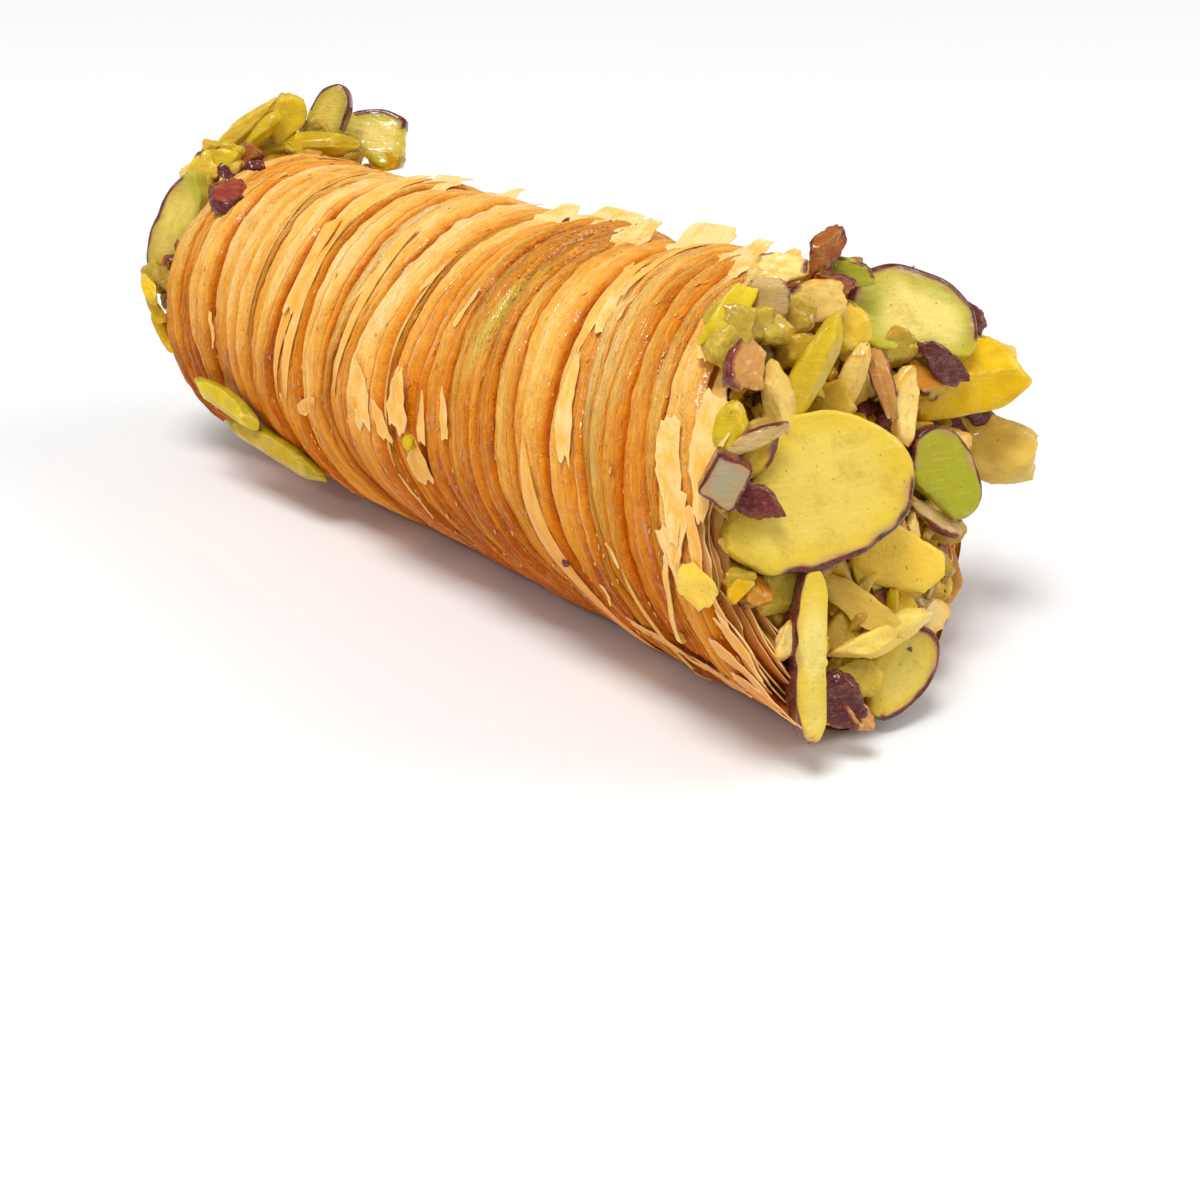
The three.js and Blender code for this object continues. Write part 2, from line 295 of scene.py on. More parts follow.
class Finish:
    """A material built round one shader, whose own sockets take what is the same all over."""

    def __init__(self, name, fixed, glow=None):
        """`glow` is the share of light that goes under the surface, how far in metres, and its colours."""
        self.material = bpy.data.materials.new(name)
        self.material.use_nodes = True
        self.tree = self.material.node_tree
        self.shader = self.tree.nodes["Principled BSDF"]
        for label, value in zip(("Weight", "Scale", "Radius"), glow or ()):
            fixed["Subsurface " + label] = value
        for socket, value in fixed.items():
            self.shader.inputs[socket].default_value = value

    def add(self, kind, settings=None, feeds=None, out=0):
        """A node of one type, its settings first, then the values or links of its sockets."""
        node = self.tree.nodes.new(kind)
        for key, value in (settings or {}).items():
            if key == "stops":
                self.set_stops(node.color_ramp.elements, value)
            else:
                setattr(node, key, value)
        for key, value in (feeds or {}).items():
            self.feed(node.inputs[key], value)
        return Term(self, node.outputs[out])

    @staticmethod
    def set_stops(elements, stops):
        while len(elements) < len(stops):
            elements.new(0.5)
        for element, (at, colour) in zip(elements, stops):
            element.position = at
            element.color = (*colour, 1.0)

    def feed(self, socket, value):
        if isinstance(value, Term):
            self.tree.links.new(value.socket, socket)
        else:
            socket.default_value = value

    def field(self, label, out=2):
        return self.add("ShaderNodeAttribute", {"attribute_name": label}, out=out)

    def stretch(self, vector, by):
        return self.add("ShaderNodeVectorMath", {"operation": "MULTIPLY"}, {0: vector, 1: by})

    def grain(self, vector, scale, detail=3.0, rough=0.5, warp=0.0):
        """Unevenness over a vector, finer as the scale grows; three scales stretch it each its own way."""
        if isinstance(scale, tuple):
            vector, scale = self.stretch(vector, scale), 1.0
        feeds = {"Vector": vector, "Scale": scale, "Detail": detail, "Roughness": rough, "Distortion": warp}
        return self.add("ShaderNodeTexNoise", None, feeds)

    def between(self, value, low, high):
        """0 below low, 1 above high, smooth between."""
        settings = {"interpolation_type": "SMOOTHSTEP"}
        return self.add("ShaderNodeMapRange", settings, {"Value": value, "From Min": low, "From Max": high})

    def blend(self, first, *coats):
        """A colour with each coat, a share and a colour of its own, laid over it in turn."""
        for share, second in coats:
            ends = [(*c, 1.0) if isinstance(c, tuple) else c for c in (first, second)]
            feeds = {0: share, 6: ends[0], 7: ends[1]}
            first = self.add("ShaderNodeMix", {"data_type": "RGBA"}, feeds, out=2)
        return first

    def ramp(self, value, stops):
        return self.add("ShaderNodeValToRGB", {"stops": stops}, {"Fac": value})

    def bump(self, height, distance, strength=1.0):
        feeds = {"Height": height, "Distance": distance, "Strength": strength}
        return self.add("ShaderNodeBump", None, feeds)

    def place(self):
        """Where a point lies in the frame, in millimetres."""
        where = self.add("ShaderNodeTexCoord", None, None, out=3)
        return self.stretch(where, (1000.0, 1000.0, 1000.0))

    def finish(self, **sockets):
        for label, value in sockets.items():
            self.feed(self.shader.inputs[label.replace("_", " ")], value)
        return self.material


# baked colours, from the pale lip that carries painted highlight down to the painted shade at the bottom of a
# crease
PALE_EDGE_AND_HIGHLIGHT, PALE, GOLD = shade(255, 228, 172), shade(255, 214, 140), shade(250, 190, 88)
AMBER, ORANGE, BURNT = shade(238, 156, 46), shade(222, 128, 16), shade(184, 84, 0)
CREASE_SHADE, DEEPEST_SHADE = shade(196, 94, 0), shade(108, 42, 0)


def leaf_finish():
    """Baked leaf: golden on the crests, deeper where syrup soaked in, with painted highlight on crests and
    lips and painted shade, dark orange, down in the creases.
    """
    f = Finish("baked_leaf", {"Specular IOR Level": 0.06, "Coat Roughness": 0.12, "Coat IOR": 1.45},
               (0.04, 0.0012, (1.0, 0.5, 0.2)))
    grain = f.field("grain", out=1)
    tone, crease, wet, lip, smear, crown = map(f.field, ("tone", "crease", "wet", "lip", "smear", "crown"))
    streaks = f.grain(grain, (1.9, 0.16, 1.0), 4.0, 0.6, 0.5)
    threads = f.grain(grain, (4.6, 0.42, 1.0), 3.0, 0.6, 0.4)
    flecks = f.grain(grain, (2.6, 0.9, 1.0), 3.0, 0.6, 0.6)
    blotches = f.grain(f.stretch(grain, (1.0, 0.5, 1.0)), 0.32, 3.0, 0.55)
    sand = f.grain(grain, 4.5, 2.0, 0.5)
    drops = f.grain(f.stretch(grain, (1.0, 0.6, 1.0)), 3.0, 2.0, 0.5)
    depth = tone + streaks.swing(0.5) + blotches.swing(0.5) + threads.swing(0.4) + flecks.swing(0.45)
    green = f.blend(shade(196, 156, 40), (sand, shade(240, 212, 104)))
    colour = f.blend(
        f.ramp(depth, [(0.0, PALE), (0.25, GOLD), (0.52, AMBER), (0.78, ORANGE), (1.0, BURNT)]),
        # pale streaks where the leaf is dry, then painted highlight along the crests and on each leaf's lip
        (f.between(streaks + drops.swing(0.5), 0.56, 0.72) * (1 - wet) * 0.2, PALE_EDGE_AND_HIGHLIGHT),
        (f.between(flecks + threads.swing(0.6), 0.62, 0.74) * (1 - crease) * 0.25, PALE_EDGE_AND_HIGHLIGHT),
        (lip * (1 - crease) * 0.7, PALE_EDGE_AND_HIGHLIGHT),
        # painted shade: orange over each fold's shaded side, then darker down in the crease and darkest at
        # its bottom
        (f.between(crease, 0.0, 0.45) * 0.4, ORANGE),
        (f.between(crease, 0.15, 0.7) * 0.95, CREASE_SHADE),
        (f.between(crease, 0.72, 1.0) * 0.85, DEEPEST_SHADE),
        (f.between(sand + blotches.swing(0.5), 0.66, 0.76) * 0.22, BURNT),
        (smear * f.between(sand + streaks, 0.6, 0.95), green))
    gloss = f.between(wet + streaks.swing(0.7) + blotches.swing(0.9), 0.15, 0.7)
    beaded = gloss * f.between(drops, 0.5, 0.56)
    glints = f.between(sand + threads.swing(0.6), 0.57, 0.62) * f.between(crown + (drops - 0.5), 0.2, 0.9)
    relief = threads * 0.8 + streaks * 0.8 + flecks * 0.9 + sand * 0.25 + beaded * (0.5 + drops * 0.8)
    return f.finish(Base_Color=colour, Roughness=0.5 - gloss * 0.18, Normal=f.bump(relief, 0.00038),
                    Coat_Weight=crown * 0.1 + gloss * 0.08 + beaded * 0.6 + glints * 0.9)


def flake_finish():
    """Loose leaf, drier and paler than what it came off."""
    f = Finish("loose_leaf", {"Specular IOR Level": 0.14, "Coat Roughness": 0.15})
    grain = f.field("grain", out=1)
    tone, rim = f.field("tone"), f.field("rim")
    streaks = f.grain(grain, (2.2, 0.22, 1.0), 4.0, 0.65, 0.5)
    spots = f.grain(grain, 2.8, 3.0, 0.5)
    clouds = f.grain(grain, 0.5, 2.0, 0.5)
    depth = tone + streaks.swing(0.8) + spots.swing(0.35) + clouds.swing(0.7)
    colour = f.blend(
        f.ramp(depth, [(0.0, PALE), (0.3, GOLD), (0.6, AMBER), (0.85, ORANGE), (1.0, BURNT)]),
        (f.between(clouds + spots.swing(0.6), 0.5, 0.62) * 0.65, shade(250, 186, 72)),
        (rim * 0.4, PALE_EDGE_AND_HIGHLIGHT),
        (f.between(spots, 0.76, 0.8) * 0.5, BURNT))
    return f.finish(Base_Color=colour, Roughness=0.5 - f.between(streaks, 0.4, 0.7) * 0.15,
                    Coat_Weight=0.12 + tone * 0.25, Normal=f.bump(streaks + spots * 0.4, 0.00018, 0.9))


def syrup_finish():
    """Beads of syrup left in the creases."""
    f = Finish("syrup", {"Specular IOR Level": 0.6, "Coat Weight": 1.0, "Coat Roughness": 0.03},
               (0.5, 0.001, (1.0, 0.5, 0.1)))
    cloud = f.grain(f.place(), 1.5, 2.0)
    colour = f.blend(shade(206, 120, 30), (cloud, shade(236, 172, 78)))
    return f.finish(Base_Color=colour, Roughness=0.08 + cloud * 0.08)


def kernel_finish():
    """Pistachio flesh and skin: its own tint, faint knife streaks painted pale as highlights, a few dark
    specks, wrinkled skin with lighter wrinkles.
    """
    f = Finish("pistachio", {"Specular IOR Level": 0.17, "Coat Roughness": 0.1},
               (0.14, 0.0016, (1.0, 0.9, 0.3)))
    tint, skin = f.field("tint", out=0), f.field("skin")
    place = f.place()
    mottle = f.grain(place, 0.45, 3.0, 0.55, 0.5)
    fine = f.grain(place, 3.0, 3.0, 0.55)
    specks = f.grain(place, 2.8, 0.0)
    knife = f.grain(place, (0.5, 0.5, 4.5), 3.0, 0.6, 0.2)
    wrinkles = f.grain(f.stretch(place, (1.0, 1.0, 2.2)), 1.5, 5.0, 0.65, 1.0)
    colour = f.blend(
        tint,
        (f.between(mottle, 0.45, 0.85) * 0.4, shade(186, 158, 26)),
        (f.between(fine + mottle.swing(0.6), 0.56, 0.72) * 0.22, shade(190, 140, 30)),
        # knife streaks: painted highlight along the knife marks
        (f.between(knife, 0.5, 0.75) * 0.12, shade(255, 240, 160)),
        (f.between(specks, 0.82, 0.86) * 0.6, shade(96, 74, 16)),
        # skin: wrinkles lighter, partly paler patches of skin and partly painted highlight
        (skin, f.blend(tint, (f.between(wrinkles, 0.45, 0.7) * 0.6, shade(168, 92, 74)))))
    wet = f.between(mottle + fine.swing(0.6), 0.44, 0.6)
    height = fine * (0.35 + 0.35 * skin) + knife * 0.3 * (1 - skin) + wrinkles * skin * 1.2 + mottle * 0.5
    return f.finish(Base_Color=colour, Roughness=0.48 - wet * 0.14, Normal=f.bump(height, 0.0002, 0.9),
                    Coat_Weight=0.03 + wet * 0.55 + skin * 0.35)


def paste_finish():
    """Pistachio paste and syrup between the nuts: olive to burnt orange, translucent and wet."""
    f = Finish("wet_paste", {"Specular IOR Level": 0.3, "Coat Roughness": 0.1},
               (0.15, 0.0015, (1.0, 0.7, 0.2)))
    tint, place = f.field("tint", out=0), f.place()
    mottle = f.grain(place, 0.5, 4.0, 0.6, 0.8)
    sugar = f.grain(place, 2.6, 2.0)
    colour = f.blend(tint, (f.between(mottle, 0.45, 0.75) * 0.45, shade(158, 84, 14)),
                     (f.between(sugar, 0.6, 0.75) * 0.3, shade(232, 204, 100)))
    wet = f.between(sugar + mottle, 0.95, 1.15)
    return f.finish(Base_Color=colour, Roughness=0.4 - wet * 0.15, Coat_Weight=0.04 + wet * 0.7,
                    Normal=f.bump(sugar + mottle * 0.6, 0.00012))


def cream_finish():
    f = Finish("pistachio_cream", {"Specular IOR Level": 0.5, "Coat Weight": 0.4, "Coat Roughness": 0.2},
               (0.2, 0.002))
    place = f.place()
    mottle, fine = f.grain(place, 0.4, 4.0, 0.6), f.grain(place, 4.0, 2.0)
    colour = f.blend(shade(158, 150, 46), (mottle, shade(196, 184, 84)),
                     (f.between(fine, 0.66, 0.7) * 0.4, shade(104, 92, 24)))
    return f.finish(Base_Color=colour, Roughness=0.36 + fine * 0.2,
                    Normal=f.bump(mottle + fine * 0.3, 0.0002))


def floor_finish():
    f = Finish("pale_floor", {"Specular IOR Level": 0.1})
    tone = f.grain(f.place(), 0.02, 2.0)
    colour = f.blend((0.87, 0.87, 0.87), (tone, (0.88, 0.88, 0.88)))
    return f.finish(Base_Color=colour, Roughness=0.75 + tone * 0.1)


LEAF, FLAKE, SYRUP = leaf_finish(), flake_finish(), syrup_finish()
KERNEL, PASTE, CREAM = kernel_finish(), paste_finish(), cream_finish()


# ---- gathered leaves ----
def fold_edges(turns):
    """Where each fold starts along the roll at every angle: wandering, and pinched here and there."""
    jumble = np.array([sin(n * 12.9898 + 4.13) * 43758.5453 % 1 for n in range(FOLDS)])
    widths = 1 + 0.38 * (2 * jumble - 1)
    starts = BACK.cut + LENGTH * np.concatenate([[0], np.cumsum(widths)]) / widths.sum()
    edges = np.repeat(starts[:, None], len(turns), axis=1)
    for k in range(1, FOLDS):
        room = min(starts[k] - starts[k - 1], starts[k + 1] - starts[k])
        for reach, shift, bumps, seed in ((0.5, 3.7, 1.5, 40), (0.09, 1.9, 5, 80), (0.045, 2.9, 14, 120)):
            edges[k] += reach * room * round_ripple(turns, shift * k, bumps, seed + k)
    for k in range(1, FOLDS + 1):
        edges[k] = np.maximum(edges[k], edges[k - 1] + 0.5)
    overrun = np.maximum(edges[FOLDS] - FRONT.cut, 0)
    return edges - overrun * (edges - BACK.cut) / LENGTH


def soaked(x, turn):
    """How far syrup has browned the skin, 0 to 1: past the middle, front top, back flank, underneath;
    underneath it also stands for painted shade.
    """
    t = (turn - pi / 2 + pi) % FULL - pi
    zone = bell(x + 3.0 * t, 15.5, 7.0) * bell(t, 0.15, 1.0)
    rim = bell(x, 39.0, 5.0) * bell(t, 0.35, 0.6)
    # underneath: syrup browning, deepened further as painted shade on the low side
    low = smooth(-np.sin(turn), -0.25, 0.75)
    back = bell(x, -34.0, 8.0) * smooth(t, 0.9, 1.5)
    return np.clip(0.42 * zone + 0.25 * rim + 0.55 * low + 0.2 * back, 0, 1)


def smeared(x, turn):
    """A streak of green paste wiped over the folds."""
    off = x - 14.3 - 3.0 * (radians(152) - turn)
    return np.exp(-(off / 0.9) ** 2 - ((turn - radians(135)) / 0.33) ** 4)


class Fold:
    """One gathered fold: its leaves lie over each other, its left lip stands over the fold before."""

    def __init__(self, k, edges, turns):
        self.start, self.width = edges[k], edges[k + 1] - edges[k]
        self.k, self.turns = k, turns
        self.deep = FOLD_DEPTH * np.clip(1.1 + 0.45 * self.uneven(5.1, 2.2, 200), 0.5, 1.7)
        self.deep = self.deep * (smooth(self.width, 0.3, 2.2) * 0.55 + 0.45)
        self.level = 0.32 * self.uneven(2.3, 1.8, 300)
        self.torn = 0.28 * smooth(self.uneven(1.0, 2.5, 400), 0.3, 0.9) * self.uneven(1.0, 44, 500)
        self.hue = 0.11 * chance(1000 + k).uniform(-1, 1) + 0.08 * self.uneven(4.0, 2.5, 1100)
        self.cuts = [0, 0.36 + 0.1 * self.uneven(1.0, 2.0, 600), 0.69 + 0.08 * self.uneven(1.0, 2.0, 800), 1]
        self.steps = [0.02 + 0.3 * smooth(self.uneven(1.0, 2.2, 1300 + 40 * j), 0.0, 0.9)
                      for j in range(LEAVES)]
        self.hues = [0.1 * self.uneven(1.0, 1.6, 1500 + 40 * j) for j in range(LEAVES)]

    def uneven(self, shift, bumps, seed):
        return round_ripple(self.turns, shift * self.k, bumps, seed + self.k)

    def crest(self, u):
        return (1 - np.abs(2 * u ** 0.74 - 1) ** 4.2) ** 0.62

    def spot(self, u):
        """How far along the roll, and how far proud of the crests, the fold's surface lies."""
        crest = self.crest(u)
        tuck = 0.36 * (1 - crest) ** 2 * np.minimum(self.width, 2.0) / 2.0
        return self.start + u * self.width + tuck, self.level * crest - self.deep * (1 - crest)

    def row(self, j, v):
        """A line of points round the roll on leaf `j`, `v` of the way across it, with how it looks."""
        u = self.cuts[j] + v * (self.cuts[j + 1] - self.cuts[j]) + 0 * self.turns
        x, rise = self.spot(u)
        crest, step, top = self.crest(u), self.steps[j], j == 0
        lip = (1 - exp(-v / 0.07)) * (1 - v ** 4) ** 0.6
        low = step * (1 - lip) * crest
        x = x + 0.3 * step * (1 - lip) ** 2 + self.torn * exp(-((v - 0.1) / 0.09) ** 2) * top
        # sheen: painted highlight along each leaf's lip, handed to the finish as the "lip" field
        sheen = exp(-((v - 0.13) / 0.09) ** 2) * crest * (0.25 + 0.75 * smooth(step, 0.1, 0.4))
        # crease: painted shade, deeper where the fold dips and at each leaf's step under the one above
        crease = (1.35 * (1 - crest) - 0.12) * self.deep / 1.1 + 2.4 * low
        # tone deepens across each fold towards the next crease: painted shade on the side that falls into
        # shadow
        return {"x": x, "rise": rise - low, "u": u, "lip": sheen * (0.55 + 0.45 * top),
                "crease": np.clip(crease, 0, 1), "tone": self.hue + self.hues[j] + 0.1 * v + 0.3 * u ** 2}


def leaf_rows(turns):
    """Every line of points from the back cut to the front one, and the fold that each belongs to."""
    edges = fold_edges(turns)
    rows = [Fold(k, edges, turns).row(j, v) for k in range(FOLDS) for j in range(LEAVES) for v in LEAF_STEPS]
    flush = 0 * turns
    rows.append({"x": edges[FOLDS], "rise": flush - 0.5 * FOLD_DEPTH, "u": flush, "lip": flush,
                 "crease": flush + 0.5, "tone": flush})
    rows = {label: np.array([row[label] for row in rows]) for label in rows[0]}
    folds = np.append(np.repeat(np.arange(FOLDS), LEAVES * len(LEAF_STEPS)), FOLDS)
    return rows | {"fold": folds[:, None] + 0 * rows["x"]}


def cut_rings(end, turns):
    """The cut face, ring inside ring like stacked leaf edges."""
    rings = []
    for i, inset in enumerate(np.linspace(0.4, WALL, CUT_RINGS)):
        lift = 0.15 * round_ripple(turns, i, 9, 30 + i) - 0.5 * (i % 2)
        rings.append(end_point(end, end.radius - inset, turns, lift))
    return rings


def leaf_body(name, skin, looks, ends):
    """One of the two bodies: its skin, then rings that close it round the bore and over the cut."""
    ends = np.array(ends)
    fields = {}
    for label, values in looks.items():
        plain = 0.0 if label in ("lip", "crown", "smear") else 0.5
        inner = ends if label == "grain" else np.full(ends.shape[:2], plain)
        fields[label] = np.concatenate([values, inner]).reshape(-1, *values.shape[2:])
    points = np.concatenate([skin, ends])
    faces = grid_faces(len(points), COLUMNS, wrap_rows=True, wrap_columns=True)
    make_piece(name, points, faces, LEAF, fields, ["pastry"], sharp=75)


def gathered_leaves():
    """The skin of the roll in two bodies that meet at the bottom of a fold."""
    turns = UNDERSIDE + FULL * np.arange(COLUMNS) / COLUMNS
    rows = leaf_rows(turns)
    x, rise, crease = rows["x"], rows["rise"], rows["crease"]
    around = np.broadcast_to(turns, x.shape)
    upward = np.sin(around)
    streaks = np.stack([(rows["fold"] + rows["u"]) * FOLD_WIDTH, *polar(5, around)], -1)
    for depth, squeeze, size, seed, waves in RIBS:
        rise = rise + depth * ripple(streaks * [1, squeeze, squeeze], size, seed, waves)
    skin = skin_point(x, around, rise)
    brown = soaked(x, around)
    # flank_shade: painted shade, a deeper tone on the sides of the roll that face down
    flank_shade = 1.2 * smooth(-upward, -0.85, -0.1)
    looks = {"grain": np.stack([streaks[..., 0], (around - UNDERSIDE) * radius_at(x), rise], -1),
             "crease": crease, "lip": rows["lip"],
             "wet": np.clip(brown + 0.35 * crease, 0, 1) * smooth(upward, -0.6, 0.1),
             "tone": np.clip(0.18 + brown * 0.72 + 0.22 * flank_shade + rows["tone"], 0, 1),
             "crown": smooth(upward, -0.5, 0.3) * (1 - crease), "smear": smeared(x, around)}
    middle = (FOLDS // 2) * LEAVES * len(LEAF_STEPS)
    centre = x[middle].mean()
    y, z = polar(radius_at(centre) - WALL, turns)
    seam = np.stack([centre + 0 * turns, y, radius_at(centre) + z - FLAT], -1)
    rear = {label: values[:middle + 1] for label, values in looks.items()}
    front = {label: values[middle:] for label, values in looks.items()}
    leaf_body("gathered_leaves_rear", skin[:middle + 1], rear, [seam] + cut_rings(BACK, turns)[::-1])
    leaf_body("gathered_leaves_front", skin[middle:], front, cut_rings(FRONT, turns) + [seam])


# ---- torn leaf edges round the cuts, and loose flakes on the skin ----
def rim_leaf(pile, end, layer, layers, begin, span, number, dice):
    """One torn arc of leaf, standing a little past the cut and splaying outwards."""
    tuck = 1.0 if layer < 2 else 3.0
    columns = int(34 * span) + 6
    turns = begin + np.linspace(-0.12, span + 0.05, columns)
    share = np.linspace(0, 1, columns)
    taper = smooth(share, 0, 0.12) * smooth(1 - share, 0, 0.2)
    torn = 0.45 * round_ripple(turns, layer, 7, number) + 0.35 * round_ripple(turns, layer, 19, number + 1)
    torn += 0.25 * np.abs(round_ripple(turns, layer, 40, number + 2))
    lower = bell(turns % FULL, radians(226), 0.5) * (end is FRONT)
    out = 0.4 + dice.uniform(-0.4, 0.9) + torn + 2.0 * lower * dice.uniform(0.3, 1.0)
    reach = np.maximum(out * taper - (1 - taper), 0.2 - tuck) + tuck
    wave = 0.2 * round_ripple(turns, layer, 4, number + 3)
    middle = end.radius - 0.7 - (WALL - 1.0) * layer / layers
    rows = []
    for s in np.linspace(0, 1, RIM_ROWS):
        lift = reach * s - tuck
        flare = 0.09 * np.maximum(lift, 0) ** 1.5 * (1.4 - 0.8 * layer / layers)
        flare += 0.1 * dice.uniform(-1, 1) * s
        rows.append(end_point(end, middle + wave * s + flare, turns, lift))
    grid = np.array(rows)[::end.sign]
    grid[..., 2] = np.maximum(grid[..., 2], RIM_SHEET)
    around = np.broadcast_to(turns * end.radius, grid.shape[:2])
    grain = np.stack([grid[..., 0] + 3.0 * layer, around, 0 * around + number], -1)
    baked = 0.4 + 0.28 * dice.uniform(-1, 1) + 0.3 * smooth(-np.sin(turns), 0.0, 0.9)
    tone = np.clip(baked + 0 * around, 0, 1)
    rim = np.exp(-np.arange(RIM_ROWS) / 0.8)[::-end.sign, None] + 0 * tone
    pile.add_sheet(grid, RIM_SHEET, grain, tone, rim)


def rim_leaves(name, end, layers, seed):
    """Leaf ends round a cut: broken arcs, ring inside ring, each torn along its edge."""
    pile = Pile()
    for layer in range(layers):
        dice = chance(seed + layer)
        begin = dice.uniform(0, FULL)
        left_over = FULL
        while left_over > 0.3:
            span = min(dice.uniform(0.7, 2.2), left_over)
            left_over -= span
            number = seed + 100 * layer + int(100 * left_over)
            rim_leaf(pile, end, layer, layers, begin, span, number, dice)
            begin += span
    pile.make(name, FLAKE, "pastry", sharp=45)


def flake_grid(x, turn, long, broad, lie, lift, curl, point, seed):
    """A torn leaf on the skin, `lie` turned from round the roll to along it, curled at one end."""
    side, up = np.linspace(-1, 1, FLAKE_COLUMNS), np.linspace(-1, 1, FLAKE_ROWS)
    a, b = np.meshgrid(side, up)
    dice = chance(seed)
    knots = np.array([-1, -0.55, -0.1, 0.4, 0.75, 1])
    widths = np.array([0.85, 1, 1, 1 - 0.3 / point, 1 - 0.62 / point, 1 - 1 / point + 0.04])
    edge = np.stack([up * long / 2, 0 * up], -1)
    halves = [np.interp(up, knots, widths * dice.uniform(0.72, 1.15, 6)) + 0.06 * ripple(edge, 0.7, seed + n)
              for n in (1, 3)]
    near, far = [np.maximum(broad / 2 * half, 0.05)[:, None] for half in halves]
    across = a * np.where(a < 0, near, far)
    tips = np.stack([side * broad / 2, 0 * side + 3], -1)
    bitten = min(1, 5 / long)
    bites = np.interp(side, [-1, -0.4, 0.3, 1], dice.uniform(-0.3, 0.12, 4))
    ragged = 1 + bitten * (bites + 0.07 * ripple(tips, 0.5, seed + 6))
    notched = 1 + 0.1 * bitten * ripple(tips, 1.1, seed + 7)
    along = long / 2 * b * np.where(b < 0, ragged, notched)
    spots = np.stack([across, along], -1)
    rooted = 0.7 * smooth(-b, 0.0, 0.9) * (curl > 0.8)
    height = lift - rooted + curl * smooth(b, 0.0, 1.2) ** 1.5
    height += 0.06 * ripple(spots, 2.6, seed + 9) + 0.03 * ripple(spots, 0.9, seed + 8)
    lay = radians(lie)
    xs = x + across * cos(lay) + along * sin(lay)
    rounds = along * cos(lay) - across * sin(lay)
    grid = skin_point(xs, turn + rounds / radius_at(xs), np.maximum(height, -rooted))
    return grid, np.stack([across + seed, along, height], -1), np.maximum(np.abs(a) ** 6, np.abs(b) ** 8)


NAMED_FLAKES = [
    # along the roll, angle round it, long, broad, lie, lift, curl, point, tone
    (41.2, 161, 9.0, 3.0, 6, 0.3, 0.4, 1.6, 0.1), (41.9, 170, 6.0, 2.2, -8, 0.4, 0.4, 1.3, 0.2),
    (45.0, 152, 9.5, 3.4, -5, 0.2, 0.2, 1.5, 0.22), (43.6, 176, 7.0, 1.6, 4, 0.3, 0.3, 1.2, 0.3),
    (40.6, 180, 4.6, 2.0, 20, 0.35, 0.5, 1.3, 0.08), (38.4, 193, 9.5, 0.6, -20, 0.5, 0.2, 5.0, 0.1),
    (42.3, 119, 7.0, 2.6, 6, 0.2, 0.25, 1.6, 0.14), (43.0, 110, 3.6, 2.4, 28, 0.3, 0.5, 1.5, 0.12),
    (29.0, 117, 8.5, 3.0, 174, 0.22, 0.15, 1.2, 0.06), (27.4, 153, 9.0, 2.0, 180, 0.16, 0.15, 1.2, 0.14),
    (-0.8, 172, 6.6, 2.6, 196, 0.25, 0.5, 1.15, 0.24), (5.2, 170, 6.0, 2.6, 178, 0.3, 0.6, 1.3, 0.2),
    (2.6, 178, 4.0, 1.8, 210, 0.15, 0.3, 1.2, 0.3), (8.4, 172, 5.2, 1.0, 176, 0.2, 0.4, 1.1, 0.25),
    (11.4, 168, 4.6, 1.1, 182, 0.2, 0.5, 1.1, 0.22), (7.0, 187, 4.4, 2.6, 172, 0.15, 0.2, 1.4, 0.34),
    (-12.0, 186, 5.0, 1.4, 120, 0.1, 0.3, 1.2, 0.35), (36.4, 89, 6.5, 5.6, 169, 0.15, 1.6, 1.6, -0.1),
    (41.0, 85, 5.0, 4.2, 184, 0.15, 1.4, 1.3, -0.05), (27.4, 80, 6.0, 7.0, 190, 0.15, 2.2, 4.0, -0.15),
    (19.0, 87, 6.0, 6.4, 170, 0.12, 1.7, 1.6, -0.15), (10.6, 79, 6.0, 9.0, 186, 0.12, 1.3, 3.0, -0.15),
    (4.6, 85, 5.0, 4.0, 194, 0.12, 0.9, 2.0, -0.1), (-7.2, 75, 5.0, 3.4, 172, 0.12, 1.4, 1.6, -0.1),
    (-14.2, 82, 5.0, 6.0, 188, 0.12, 0.85, 3.0, -0.05), (-21.5, 76, 4.4, 4.4, 170, 0.12, 0.82, 1.6, 0.0),
    (45.0, 214, 7.0, 2.2, 74, 0.25, 0.4, 1.2, 0.42), (42.5, 222, 9.5, 2.6, 80, 0.2, 0.5, 1.15, 0.45),
    (44.6, 204, 6.5, 1.9, 62, 0.3, 0.5, 1.15, 0.38), (38.0, 218, 8.5, 1.8, 84, 0.15, 0.3, 1.3, 0.45),
    (46.0, 196, 5.6, 1.6, 40, 0.3, 0.4, 1.2, 0.35), (32.0, 214, 8.0, 1.4, 80, 0.1, 0.2, 1.2, 0.45),
]


def small_flakes(dice):
    """Narrow shreds of leaf strewn over the skin, told in the same columns as the named flakes."""
    for _ in range(SMALL_FLAKES):
        x = dice.uniform(-36, 40)
        turn = dice.choice([dice.uniform(-60, 80), dice.uniform(80, 235)])
        long, broad = dice.uniform(1.2, 4.0), dice.uniform(0.35, 0.8)
        lie = dice.choice([0, 180]) + dice.uniform(-12, 12)
        lift, curl = dice.uniform(0.02, 0.08), dice.uniform(0.1, 0.4)
        yield x, turn, long, broad, lie, lift, curl, dice.uniform(1.1, 1.8), dice.uniform(0.05, 0.3)


def torn_flakes():
    pile = Pile()
    for number, (x, turn, *shape, tone) in enumerate([*NAMED_FLAKES, *small_flakes(chance(FLAKE_DICE))]):
        turn = radians(turn)
        grid, grain, rim = flake_grid(x, turn, *shape, 5000 + 31 * number)
        pile.add_sheet(grid, FLAKE_SHEET, grain, tone + 0.06 + 0.4 * soaked(x, turn) + 0 * rim, rim)
    pile.make("torn_flakes", FLAKE, "pastry", sharp=40)


